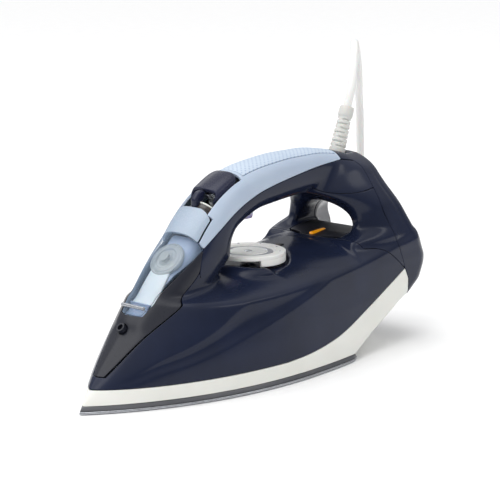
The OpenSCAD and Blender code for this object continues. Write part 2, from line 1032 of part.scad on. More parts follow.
// ---- mains lead --------------------------------------------------------------------------------
// Route of the lead from the guard, over the back and down to the table, then to the coil
lead_route = [
  [267.9, 0, 134.7], [284.3, 0, 180], [289, 0, 193], [295, 3, 206], [304, 9, 217], [316, 18, 224], [330, 29, 224],
  [343, 37, 215], [352, 42, 200], [357, 45, 183], [360, 46, 165], [361, 46, 145],
  [362, 46, 125], [362, 46, 105], [362, 46, 85], [362, 48, 65], [363, 52, 47], [364, 60, 31],
  [366, 72, 17], [366.5, 83, 8.5], [365.5, 94, 4.4], [362.5, 105, 3.4], [358, 116, 3.4],
  [353, 126, 3.4], [349.3, 134, 3.4], [347.2, 142, 3.4]
];
tail_route = [
  [259.6, 173.3, 9.9], [255.6, 166.4, 10.6], [251.6, 159.4, 12.3], [247.6, 152.5, 14.5],
  [243.6, 145.6, 16.6], [239.6, 138.7, 18.1], [236.6, 133.5, 18.5]
];

function unit(v) = v / norm(v);

// Heading of a route at its point i
function heading(route, i) =
  unit(route[min(i + 1, len(route) - 1)] - route[max(i - 1, 0)]);

// Sideways direction at every point, carried along the route without twist
function sides(route, i, s) =
  i == len(route) ? [] :
  let (d = heading(route, i), t = unit(s - (s * d) * d))
  concat([t], sides(route, i + 1, t));

module tube(route, r, n = 8) {
  t = sides(route, 0, [0, 1, 0]);
  loft([for (i = [0:len(route) - 1])
    let (u = cross(heading(route, i), t[i]))
    [for (j = [0:n - 1]) route[i] + r * (cos(360 * j / n) * t[i] + sin(360 * j / n) * u)]]);
}

module cord_lead() {
  color(off_white) placed()
    tube(lead_route, lead_d / 2);
}

module cord_coil() {
  color(off_white) placed()
    translate([coil_at[0], coil_at[1], 0])
      rotate_extrude($fn = 96)
        translate([coil_r - coil_across * lead_d / 2, 0])
          square([coil_across * lead_d, 2 * lead_d]);
}

module cord_tail() {
  color(off_white) placed()
    tube(tail_route, lead_d / 2);
}

module cord_tie() {
  color(charcoal) placed()
    translate([coil_at[0] + coil_r * cos(118), coil_at[1] + coil_r * sin(118), lead_d])
      rotate([0, 0, 118])
        difference() {
          translate([-coil_across * lead_d / 2 - 1.3, -2, -lead_d])
            cube([coil_across * lead_d + 2.6, 4, 2 * lead_d + 1.3]);
          translate([-coil_across * lead_d / 2 - 0.1, -3, -lead_d - 1])
            cube([coil_across * lead_d + 0.2, 6, 2 * lead_d + 1.1]);
        }
}

module plug_body() {
  color(off_white) placed()
    translate([plug_at[0], plug_at[1], plug_body_r])
      rotate([90, 0, plug_turn])
        rotate_extrude($fn = 64)
          polygon([[0, -12], [4.6, -12], [6, 0], [9, 3], [11, 8], [17.5, 14], [plug_body_r, 17],
            [plug_body_r, 26], [17.5, 27], [0, 27]]);
}

module plug_pins() {
  color(brass) placed()
    translate([plug_at[0], plug_at[1], plug_body_r])
      rotate([0, 0, plug_turn])
      for (s = [-1, 1])
        translate([s * 9.5, -27, 0])
          rotate([90, 0, 0])
            cylinder(r = 2.4, h = 18, $fn = 32);
}

soleplate();
heater_casting();
heating_element();
steam_chamber_lid();
casting_screws();
thermostat();
thermal_fuse();
heat_shield();
skirt();
water_tank();
front_fascia();
spray_nozzle();
fill_well();
fill_door();
fill_plug();
door_hinge_pin();
steam_sleeve();
steam_drum();
steam_lever();
drum_ring();
dosing_rod();
dosing_valve();
button_cap();
button_spring();
spray_pump();
spray_tube();
boost_pump();
boost_tube();
handle_upper();
grip_insert();
handle_lower();
steam_trigger();
trigger_spring();
thermostat_dial();
dial_spindle();
dial_pointer();
rear_frame();
deck_panel();
lamp_lens();
lamp_board();
rear_cover();
rear_screw();
terminal_block();
inner_leads();
cord_guard();
cord_clamp();
cord_lead();
cord_coil();
cord_tail();
cord_tie();
plug_body();
plug_pins();
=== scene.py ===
import math
from itertools import product

import bmesh
import bpy
import numpy as np
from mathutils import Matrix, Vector


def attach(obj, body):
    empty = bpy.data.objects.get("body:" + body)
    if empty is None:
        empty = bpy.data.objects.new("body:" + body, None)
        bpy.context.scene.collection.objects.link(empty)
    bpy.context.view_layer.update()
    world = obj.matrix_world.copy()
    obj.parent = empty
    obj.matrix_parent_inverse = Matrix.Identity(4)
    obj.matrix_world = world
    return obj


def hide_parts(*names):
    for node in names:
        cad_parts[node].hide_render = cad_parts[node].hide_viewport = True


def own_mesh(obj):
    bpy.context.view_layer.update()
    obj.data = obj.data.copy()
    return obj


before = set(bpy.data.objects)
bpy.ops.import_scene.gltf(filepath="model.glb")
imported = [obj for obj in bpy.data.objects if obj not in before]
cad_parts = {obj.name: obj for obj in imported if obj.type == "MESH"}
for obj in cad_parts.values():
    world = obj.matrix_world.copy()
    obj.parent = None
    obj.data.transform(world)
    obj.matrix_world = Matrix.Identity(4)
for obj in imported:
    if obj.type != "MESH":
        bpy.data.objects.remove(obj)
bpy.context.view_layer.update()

# Profile points are written in millimetres as [distance behind the nose datum, height].
ORIGIN_X = 166.0
MM = 0.001


def row(p):
    """Nose-based millimetres to the row frame in metres."""
    p = np.asarray(p, float)
    return (p - np.array([ORIGIN_X, 0, 0])) * MM


def vec(p):
    return Vector(row(p).tolist())


# Camera, at the photograph's viewing angle
TARGET = Vector((0.00604, 0.0, 0.08472))
BACK = Vector((-0.7284, -0.6529, 0.2077)).normalized()
CAMERA_DISTANCE = 1.07275


def placed(name, data, at=(0, 0, 0), back=None):
    """A new object in the scene, turned so that its local Z points along back."""
    obj = bpy.data.objects.new(name, data)
    obj.location = at
    if back is not None:
        obj.rotation_euler = back.to_track_quat("Z", "Y").to_euler()
    bpy.context.scene.collection.objects.link(obj)
    return obj


cam_data = bpy.data.cameras.new("camera")
cam_data.sensor_width = 36.0
cam_data.lens = 106.0
cam_data.clip_start = 0.05
cam_data.clip_end = 60.0
bpy.context.scene.camera = placed("camera", cam_data, TARGET + BACK * CAMERA_DISTANCE, BACK)

# Mains lead, along the route that its solids have in part.scad
LEAD_D = 6.6
LEAD_EXIT = (284.3, 0, 180)
LEAD_ROUTE = [
    (275.7, 0, 156.3), LEAD_EXIT, (289, 0, 193), (295, 3, 206), (304, 9, 217), (316, 18, 224),
    (330, 29, 224), (343, 37, 215), (352, 42, 200), (357, 45, 183), (360, 46, 165), (361, 46, 145),
    (362, 46, 125), (362, 46, 105), (362, 46, 85), (362, 48, 65), (363, 52, 47), (364, 60, 31),
    (366, 72, 17), (366.5, 83, 8.5), (365.5, 94, 4.4), (362.5, 105, 3.4), (358, 116, 3.4),
    (353, 126, 3.4), (349.3, 134, 3.4), (347.2, 142, 3.4)]
TAIL_ROUTE = [(255.6, 166.4, 10.6), (251.6, 159.4, 12.3), (247.6, 152.5, 14.5),
              (243.6, 145.6, 16.6), (239.6, 138.7, 18.1), (236.6, 133.5, 18.5)]
COIL_AT = (300.0, 150.0)
COIL_R = 40.0
TURN_R = [46.6, 40.0, 33.4, 33.4, 40.0, 46.6]
TURN_Z = [3.4, 3.4, 3.4, 9.9, 9.9, 9.9]
COIL_SWEEP = 150.0 + 5 * 360.0
POINTS_PER_TURN = 18
SHIFT_AT, SHIFT_SPAN = 200.0, 0.22  # degrees where a turn moves to the next, and the share of a turn it takes


def coil_points():
    """Three turns inwards on the floor, then three outwards on top of them."""
    points = []
    n = int(COIL_SWEEP / 360.0 * POINTS_PER_TURN)
    for i in range(n + 1):
        a = COIL_SWEEP * i / n
        turn = (a - SHIFT_AT) / 360.0
        k = int(math.floor(turn)) + 1
        f = min(max((turn + 1 - k) / SHIFT_SPAN, 0.0), 1.0)
        f = f * f * (3 - 2 * f)
        prev, k = max(k - 1, 0), min(k, 5)
        r, z = (t[prev] + (t[k] - t[prev]) * f for t in (TURN_R, TURN_Z))
        a = math.radians(a)
        points.append((COIL_AT[0] + r * math.cos(a), COIL_AT[1] + r * math.sin(a), z))
    return points


lead_path = LEAD_ROUTE + coil_points() + TAIL_ROUTE
curve = bpy.data.curves.new("mains_lead", "CURVE")
curve.dimensions = "3D"
curve.resolution_u = 6
curve.bevel_depth = LEAD_D / 2 * MM
curve.bevel_resolution = 5
curve.use_fill_caps = True
spline = curve.splines.new("BEZIER")
spline.bezier_points.add(len(lead_path) - 1)
for bp, p in zip(spline.bezier_points, lead_path):
    bp.co = vec(p)
    bp.handle_left_type = bp.handle_right_type = "AUTO"
mains_lead = placed("mains_lead", curve)


# Materials
COAT_ROUGHNESS = 0.04
SUBSURFACE_SCALE = 0.004
PLASTIC_IOR = 1.5
PATCH_SCALE = 25.0
NOISE_RANGE = (0.3, 0.7)   # where most of a noise texture's values lie
RIM_BLEND, RIM_RANGE = 0.5, (0.3, 0.85)


def linear(hexcode):
    out = []
    for i in (0, 2, 4):
        c = int(hexcode[i:i + 2], 16) / 255.0
        out.append(c / 12.92 if c <= 0.04045 else ((c + 0.055) / 1.055) ** 2.4)
    return (*out, 1.0)


def feed(tree, node, sockets):
    """Sets a node's inputs: each takes a value, or the output that drives it."""
    for key, value in sockets.items():
        if isinstance(value, bpy.types.NodeSocket):
            tree.links.new(value, node.inputs[key])
        else:
            node.inputs[key].default_value = value


def add_node(tree, kind, output, sockets=(), **settings):
    node = tree.nodes.new("ShaderNode" + kind)
    for key, value in settings.items():
        setattr(node, key, value)
    feed(tree, node, dict(sockets))
    return node.outputs[output]


def remap(tree, value, span, low=0.0, high=1.0):
    return add_node(tree, "MapRange", "Result", {"Value": value, "From Min": span[0], "From Max": span[1],
                                                 "To Min": low, "To Max": high})


def two_colours(tree, fac, low, high, span=NOISE_RANGE):
    colour = add_node(tree, "ValToRGB", "Color", {"Fac": fac})
    for stop, at, value in zip(colour.node.color_ramp.elements, span, (low, high)):
        stop.position, stop.color = at, value
    return colour


def material(name, low, high, rough, grain, bump, bump_mm, metal=0.0, coat=0.0, alpha=1.0,
             stretch=(1, 1, 1), sss=0.0, specular=0.5, emission=0.0, dots=None, rim_alpha=None):
    """Procedural finish: two close colours over a broad noise, grain in the roughness, fine bump."""
    m = bpy.data.materials.new(name)
    m.use_nodes = True
    tree = m.node_tree
    bsdf = tree.nodes["Principled BSDF"]
    coords = add_node(tree, "TexCoord", "Object")
    at = add_node(tree, "Mapping", "Vector", {"Vector": coords, "Scale": stretch})
    broad = add_node(tree, "TexNoise", "Fac", {"Vector": at, "Scale": PATCH_SCALE, "Detail": 3.0})
    fine = add_node(tree, "TexNoise", "Fac", {"Vector": at, "Scale": grain, "Detail": 4.0})
    base, height = two_colours(tree, broad, linear(low), linear(high)), fine
    if dots:
        pitch, radius, dot_hex = dots
        turned = add_node(tree, "Mapping", "Vector", {"Vector": coords, "Rotation": (0, 0, math.radians(45))})
        lattice = {"Vector": turned, "Randomness": 0.0, "Scale": 1.0 / (pitch * MM)}
        distance = add_node(tree, "TexVoronoi", "Distance", lattice, voronoi_dimensions="2D")
        height = remap(tree, distance, (radius, radius * 0.6))
        base = add_node(tree, "Mix", "Result", {"Factor": height, "A": base, "B": linear(dot_hex)},
                        data_type="RGBA")
    relief = add_node(tree, "Bump", "Normal", {"Height": height, "Strength": bump, "Distance": bump_mm * MM})
    feed(tree, bsdf, {
        "Base Color": base, "Roughness": remap(tree, fine, NOISE_RANGE, *rough), "Normal": relief,
        "Metallic": metal, "Coat Weight": coat, "Coat Roughness": COAT_ROUGHNESS, "Alpha": alpha,
        "IOR": PLASTIC_IOR, "Subsurface Weight": sss, "Subsurface Scale": SUBSURFACE_SCALE,
        "Specular IOR Level": specular})
    if rim_alpha:
        facing = add_node(tree, "LayerWeight", "Facing", {"Blend": RIM_BLEND})
        feed(tree, bsdf, {"Alpha": remap(tree, facing, RIM_RANGE, alpha, rim_alpha)})
    if emission:
        feed(tree, bsdf, {"Emission Color": linear(high), "Emission Strength": emission})
    return m


# Name, two colours, roughness range, grain scale, bump strength and bump height in mm
MAT = {
    "navy": material("navy_gloss", "171d2f", "1c2339", (0.16, 0.22), 900, 0.03, 0.02, specular=0.24),
    "charcoal": material("charcoal_moulding", "1a1c25", "21232d", (0.26, 0.35), 1500, 0.08, 0.02,
                         specular=0.35),
    "deck": material("deck_texture", "17181f", "21222b", (0.38, 0.5), 1400, 0.35, 0.05),
    # this dark finish also paints the seam shade on the sheet inside the skin
    "inner": material("inner_dark", "0c0d12", "14151c", (0.5, 0.65), 700, 0.1, 0.05),
    "pale_blue": material("pale_blue_moulding", "a8b6ca", "b1bfd1", (0.32, 0.42), 1600, 0.10, 0.02, sss=0.05),
    "grip": material("dotted_grip", "b2c1d2", "bdcad9", (0.45, 0.55), 900, 0.5, 0.12,
                     dots=(2.9, 0.27, "93a6c2")),
    "sleeve": material("sleeve_moulding", "96a5b7", "a2b0c0", (0.2, 0.3), 1500, 0.05, 0.02, sss=0.08),
    "glass": material("clear_blue_glass", "74889f", "8598af", (0.03, 0.06), 300, 0.02, 0.02, alpha=0.14,
                      rim_alpha=0.96),
    "plug_clear": material("jelly_plug", "a3adad", "c2caca", (0.05, 0.1), 260, 0.5, 0.4, alpha=0.55,
                           rim_alpha=1.0, coat=0.8),
    "well": material("well_lavender", "93a7c6", "a2b5d1", (0.25, 0.35), 700, 0.05, 0.03, sss=0.1),
    "chute": material("chute_white", "d3e0e8", "e0eaf0", (0.3, 0.4), 900, 0.08, 0.03, sss=0.1),
    "white": material("skirt_white", "e2e2db", "e9e9e3", (0.3, 0.4), 1500, 0.08, 0.02, sss=0.05),
    "dial": material("dial_white", "ecece8", "f3f3f0", (0.3, 0.4), 1200, 0.08, 0.02, sss=0.05),
    "silver": material("bright_trim", "b9bcc2", "d0d3d8", (0.12, 0.2), 900, 0.05, 0.02, metal=1.0),
    "drum": material("drum_brown_black", "1d1715", "2a2220", (0.22, 0.32), 900, 0.1, 0.03, coat=0.5),
    "button": material("button_navy", "191c30", "20243c", (0.24, 0.32), 1000, 0.05, 0.02, specular=0.3),
    "lilac": material("lilac_key", "8f8bb4", "a6a2c8", (0.18, 0.26), 700, 0.06, 0.03, alpha=0.9, sss=0.3,
                      coat=0.4),
    "pointer": material("pointer_black", "050506", "0b0b0d", (0.3, 0.4), 900, 0.08, 0.02),
    "amber": material("amber_lamp", "f08a00", "ffab1c", (0.15, 0.25), 500, 0.05, 0.03, emission=0.35,
                      coat=0.6),
    "guard": material("guard_white", "c9c9c4", "d6d6d1", (0.38, 0.48), 1200, 0.1, 0.03, sss=0.1),
    "lead": material("lead_white", "e6e6e3", "f0f0ee", (0.35, 0.45), 1000, 0.1, 0.03, sss=0.1),
    "tie": material("tie_black", "17171a", "232327", (0.5, 0.6), 900, 0.2, 0.05),
    "brass": material("pin_brass", "b08d4a", "c9a866", (0.2, 0.3), 600, 0.1, 0.03, metal=1.0),
    "sole": material("polished_sole", "9a9ca1", "b4b6bb", (0.16, 0.28), 60, 0.12, 0.03, metal=1.0,
                     stretch=(1, 30, 30)),
    "cast": material("casting_grey", "606165", "727377", (0.35, 0.5), 900, 0.3, 0.06, metal=0.7),
    "element": material("element_oxide", "55504d", "77706c", (0.35, 0.5), 500, 0.2, 0.05, metal=0.9),
    "screw": material("screw_steel", "9da0a5", "b5b8bd", (0.2, 0.35), 800, 0.1, 0.03, metal=1.0),
    "spring": material("spring_steel", "8f9398", "aeb2b8", (0.2, 0.3), 1200, 0.1, 0.03, metal=1.0),
    "ceramic": material("ceramic_white", "d8d5cc", "e6e3da", (0.5, 0.65), 500, 0.2, 0.05),
    "inner_white": material("inner_white", "cfd2d4", "dfe2e4", (0.4, 0.5), 700, 0.1, 0.04),
    "silicone": material("silicone_red", "9c3a2a", "b44a36", (0.45, 0.6), 500, 0.15, 0.05),
    "board": material("board_green", "123c22", "1b5230", (0.3, 0.45), 900, 0.2, 0.05),
    "wire": material("wire_sleeve", "6a4a2c", "80593a", (0.4, 0.5), 700, 0.15, 0.04),
}
# Finishes of the CAD nodes that stay; the rest are inside the body and dark
NODE_FINISHES = {
    "cast": ("heater_casting", "steam_chamber_lid"), "element": ("heating_element",),
    "screw": ("casting_screws", "thermal_fuse", "door_hinge_pin", "dosing_rod", "dial_spindle", "rear_screw"),
    "inner_white": ("heat_shield", "spray_pump", "spray_tube", "boost_pump", "boost_tube"),
    "ceramic": ("thermostat", "terminal_block"), "charcoal": ("spray_nozzle",), "guard": ("cord_clamp",),
    "silicone": ("dosing_valve",), "board": ("lamp_board",), "wire": ("inner_leads",)}
finish_of = {node: key for key, nodes in NODE_FINISHES.items() for node in nodes}
for node_name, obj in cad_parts.items():
    finish = MAT[finish_of.get(node_name, "inner")]
    if not obj.material_slots:
        obj.data.materials.append(finish)
    for slot in obj.material_slots:
        slot.material = finish


# Mesh helpers
def finished(name, mesh, mat, body="iron", replaces=(), slot=None, sharp=None):
    mesh.polygons.foreach_set("use_smooth", [True] * len(mesh.polygons))
    if sharp is not None:
        mesh.set_sharp_from_angle(angle=math.radians(sharp))
    mesh.materials.append(MAT[mat])
    obj = placed(name, mesh)
    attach(obj, body)
    if replaces:
        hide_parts(*replaces)
    return obj


def piece(name, verts_mm, faces, mat, **kw):
    mesh = bpy.data.meshes.new(name)
    mesh.from_pydata([tuple(v) for v in row(verts_mm).tolist()], [], [tuple(int(i) for i in f) for f in faces])
    mesh.validate()
    return finished(name, mesh, mat, **kw)


FURTHEST = 1e9


def smin(a, b, k):
    """The smaller of two fields, with a fillet of about k where they meet."""
    h = np.maximum(k - np.abs(a - b), 0.0) / k
    return np.minimum(a, b) - h * h * k * 0.25


def smax(a, b, k):
    return -smin(-a, -b, k)


def pchip(table, q):
    """Monotone cubic through a table's points, held at its ends."""
    x = np.array([t[0] for t in table], float)
    y = np.array([t[1] for t in table], float)
    h, d = np.diff(x), np.diff(y) / np.diff(x)
    m = np.zeros(len(x))
    m[0], m[-1] = d[0], d[-1]
    for i in range(1, len(x) - 1):
        if d[i - 1] * d[i] > 0:
            w1, w2 = 2 * h[i] + h[i - 1], h[i] + 2 * h[i - 1]
            m[i] = (w1 + w2) / (w1 / d[i - 1] + w2 / d[i])
    q = np.clip(np.asarray(q, float), x[0], x[-1])
    i = np.clip(np.searchsorted(x, q, side="right") - 1, 0, len(x) - 2)
    t = (q - x[i]) / h[i]
    return ((1 + 2 * t) * (1 - t) ** 2 * y[i] + t * (1 - t) ** 2 * h[i] * m[i]
            + t * t * (3 - 2 * t) * y[i + 1] + t * t * (t - 1) * h[i] * m[i + 1])


def chaikin(points):
    """Rounds the corners of an open line in two passes, keeping its ends."""
    p = [np.array(q, float) for q in points]
    for _ in range(2):
        out = [p[0]]
        for a, b in zip(p[:-1], p[1:]):
            out += [a * 0.75 + b * 0.25, a * 0.25 + b * 0.75]
        out.append(p[-1])
        p = out
    return [tuple(q) for q in p]


def from_segment(a, b, x, z):
    """How far points are from the nearest point of a segment, along each axis."""
    dx, dz = b[0] - a[0], b[1] - a[1]
    t = np.clip(((x - a[0]) * dx + (z - a[1]) * dz) / (dx * dx + dz * dz), 0, 1)
    return x - a[0] - t * dx, z - a[1] - t * dz


def line_distance(points, x, z):
    """Distance to an open line and the side it is on, by its nearest segment."""
    best = np.full(np.shape(x), FURTHEST)
    side = np.zeros(np.shape(x))
    for a, b in zip(points[:-1], points[1:]):
        d = np.hypot(*from_segment(a, b, x, z))
        s = np.sign((b[0] - a[0]) * (z - a[1]) - (b[1] - a[1]) * (x - a[0]))
        near = d < best
        side = np.where(near, s, side)
        best = np.where(near, d, best)
    return best, side


def poly_sdf(points, x, z):
    """Signed distance to a closed polygon, negative inside."""
    best = np.full(np.shape(x), FURTHEST)
    inside = np.zeros(np.shape(x), bool)
    ring = list(points) + [points[0]]
    for a, b in zip(ring[:-1], ring[1:]):
        dx, dz = b[0] - a[0], b[1] - a[1]
        if dx == 0 and dz == 0:
            continue
        off_x, off_z = from_segment(a, b, x, z)
        best = np.minimum(best, off_x ** 2 + off_z ** 2)
        if dz != 0:
            inside ^= ((a[1] > z) != (b[1] > z)) & (x < dx * (z - a[1]) / dz + a[0])
    return np.where(inside, -1.0, 1.0) * np.sqrt(best)


# Outline tables by height, close to those of part.scad
NOSE_LOW = [(0, 4), (5.6, 6.5), (15.5, 13.5), (50, 44), (66, 57), (84, 74), (100, 90)]
BLUNT_LOW = [(0, 0.93), (5.6, 0.9), (15.5, 0.74), (30, 0.62), (50, 0.53), (84, 0.5), (100, 0.5)]
WIDE_LOW = [(0, 178), (15.5, 182), (50, 192), (84, 205), (100, 215)]
NOSE_HIGH = [(60, 60), (67, 84), (74.3, 114), (79, 150), (86.6, 180), (90, 206), (93, 226), (104, 226), (120, 214),
             (146, 238), (160, 250)]
WIDE_HIGH = [(60, 285), (88, 290), (110, 286), (146, 272), (160, 270)]
WIDTH = [(0, 60), (5.6, 59), (15.5, 57.5), (30, 56.5), (45, 55), (60, 54), (75, 52.5), (90, 49.5),
         (100, 46.5), (110, 43), (120, 37.5), (130, 31), (137, 26), (146, 14)]
HEEL = [(0, 240), (5.6, 241), (15.5, 259), (35, 296), (39, 307), (48, 321), (60, 327.5), (66, 328), (79, 323),
        (96, 313.5), (116, 304), (133, 296), (146, 288)]
CORNER = [(0, 22), (30, 18), (60, 16), (100, 16), (120, 18), (146, 9)]


def outline(z, high=False, inset=0.0, n=44):
    """One side of the outline at a height, from the nose to the middle of the heel."""
    nose = pchip(NOSE_HIGH if high else NOSE_LOW, z) + 1.3 * inset
    wide = pchip(WIDE_HIGH if high else WIDE_LOW, z)
    blunt = 1.2 if high else pchip(BLUNT_LOW, z)
    width = pchip(WIDTH, z) - inset
    heel = np.interp(z, [h[0] for h in HEEL], [h[1] for h in HEEL]) - 0.9 * inset
    r = max(pchip(CORNER, z) - inset, 3)
    t = np.linspace(0, 1, n) ** 1.7
    pts = [(nose + (wide - nose) * s, width * (1 - (1 - s) ** 2.2) ** blunt) for s in t]
    for s in np.linspace(0, 1, 9)[1:]:
        pts.append((wide + (heel - r - wide) * s, width * (1 - 0.03 * s * s)))
    we = width * 0.97
    for a in np.radians(np.linspace(0, 90, 10)[1:]):
        pts.append((heel - r + r * math.sin(a), we - r + r * math.cos(a)))
    pts.append((heel + 0.9, 0.0))
    return np.array(pts)


def outline_sdf(pts, X, Y):
    """Signed distance to one side's outline in plan, negative inside."""
    best = np.full(X.shape, FURTHEST, np.float32)
    for a, b in zip(pts[:-1], pts[1:]):
        if ((b - a) ** 2).sum() < 1e-9:
            continue
        off_x, off_y = from_segment(a, b, X, Y)
        best = np.minimum(best, off_x ** 2 + off_y ** 2)
    top = np.interp(X, pts[:, 0], pts[:, 1], left=-1, right=-1)
    return np.where(Y < top, -1.0, 1.0) * np.sqrt(best)


# Seams, seen from the side
SKIRT_LINE = chaikin([(150, 15.5), (175, 17), (202, 21), (216, 25), (231, 31), (291.5, 59)])
HEEL_SEAM = [(295.5, 50.6), (295, 40.7), (291, 34), (290, 20)]
REAR_SEAM = chaikin([(291.5, 59), (282, 84), (275, 104.5), (272.6, 122.3)])
SADDLE_SEAM = chaikin([(291.5, 59), (274, 73.5), (262, 79), (248, 80)])
HANDLE_SEAM = chaikin([(272.6, 122.3), (258, 119.8), (242, 120), (233, 122), (222, 127.5)])
BLUE_LINE = chaikin([(102.5, 99), (119, 110), (137.7, 120.5), (153, 127), (169, 132), (201, 137.8),
                     (229, 142), (256.5, 143.8)])
FASCIA_SEAM = chaikin([(102.5, 99), (98.5, 90), (97.3, 82.5), (75.5, 66.2), (56.3, 52.7), (45.2, 44.2),
                       (22, 23)])
DOOR_EDGE = chaikin([(52.3, 59.5), (57, 64), (65, 71.5), (80, 84), (102.5, 99)])
LEG_CURVE = chaikin([(236, 40), (236.5, 84), (247, 87), (254, 91), (257, 97), (256, 104), (250, 111),
                     (241, 116.5), (229, 121.5), (212, 125), (200, 126)])
# The handle from its nose end back: a point of its top line, one of its lower line, and its half width
STATIONS = [((46, 53), (95, 30), 15), ((57, 66), (104, 48), 19), ((69, 80), (113, 63), 21),
            ((82, 94), (126, 76), 21.5), ((94, 106), (138, 88), 21), ((103, 116), (138.5, 96), 20.5),
            ((113, 125.5), (142, 103.5), 19.8), ((125, 134.5), (149, 108), 19), ((140, 142.5), (158, 112), 18.5),
            ((158, 148), (170, 116), 18.2), ((180, 151.3), (186, 118), 18), ((205, 153.2), (205, 119.8), 18),
            ((230, 153.3), (225, 121.2), 18), ((252, 151), (244, 119), 18.2), ((271, 146.5), (264, 115), 18.5)]

TUNNEL_FLOOR = [(200, 83.3), (232, 86.5), (238, 87.0), (258, 88.2), (272, 88.8), (281, 88.2), (290, 83.5),
                (344, 42)]
DIAL_X = 170.0
DECK_Z, DECK_SLOPE, DECK_CROWN = 80.2, math.tan(math.radians(5.8)), 0.0053
LIP_Z, LIP_R, LIP_FRONT = 82.6, 32.4, 157.5
DISH_Z, DISH_R = 75.4, 29.6
ARCH_X, ARCH_RUN = 281.0, 63.0
ARCH_HALF, ARCH_FLARE = 27.5, 24.0
GUARD_AT = (272, 0, 146)

STEP = 1.0
LEVEL_STEP = 2.0
GX = np.arange(-1.0, 333.5, STEP)
GY = np.arange(0.0, 63.5, STEP)
GZ = np.arange(3.0, 158.5, STEP)
XX, ZZ = np.meshgrid(GX, GZ, indexing="ij")


STATION_STEPS = 90
HANDLE_POWER = 2.78


def along_stations(which):
    pts = [s[which] for s in STATIONS]
    t = np.arange(len(pts), dtype=float)
    q = np.linspace(0, len(pts) - 1, STATION_STEPS)
    return list(zip(*(pchip(list(zip(t, [p[k] for p in pts])), q) for k in (0, 1))))


# The flank's leaf-shaped facet lies between two curves; a shallow panel lies under a third
FACET_UP = [(14, 15.8), (30, 21.5), (52, 31.5), (72, 37.8), (94.6, 47.6), (107.4, 55.3), (125.6, 64.2),
            (151, 67.6), (178, 70.1), (210, 73.1), (226.7, 74.3)]
FACET_LOW = [(14, 15.6), (30, 17.5), (50.8, 23.7), (70.3, 28), (92.5, 33.7), (115.6, 40.3), (148, 48.9),
             (170.5, 55.7), (193, 63.3), (205.8, 69.1), (226.7, 74.3)]
MID_CURVE = [(120, 55), (148, 48.9), (175, 44), (209, 40.5), (245.6, 42.6), (275, 52)]


def sculpt(x, z):
    """Facets pressed into the tank's flank: how far the surface moves outwards."""
    up, low = pchip(FACET_UP, x), pchip(FACET_LOW, x)
    span = np.maximum(up - low, 0.5)
    t = np.clip((z - low) / span, 0, 1)
    reach = np.clip((x - 20) / 50, 0, 1) * np.clip((228 - x) / 40, 0, 1)
    leaf = -1.3 * reach * (1 - (2 * t - 1) ** 2)
    below = np.clip((pchip(MID_CURVE, x) - z) / 26, 0, 1)
    panel = -0.9 * np.sin(np.pi * below) * np.clip((x - 150) / 40, 0, 1) * np.clip((285 - x) / 40, 0, 1)
    return leaf + panel


def scallop(x, z):
    """Hollow pressed into the rear cover behind its seam."""
    seam_x = np.interp(z, [59, 84, 104.5, 122.3, 140], [291.5, 282, 275, 272.6, 270])
    heel = np.interp(z, [h[0] for h in HEEL], [h[1] for h in HEEL])
    t = np.clip((x - seam_x - 2) / np.maximum(heel - seam_x - 16, 4), 0, 1)
    reach = np.clip((z - 62) / 18, 0, 1) * np.clip((136 - z) / 30, 0, 1)
    return -1.2 * reach * (1 - (2 * t - 1) ** 2)


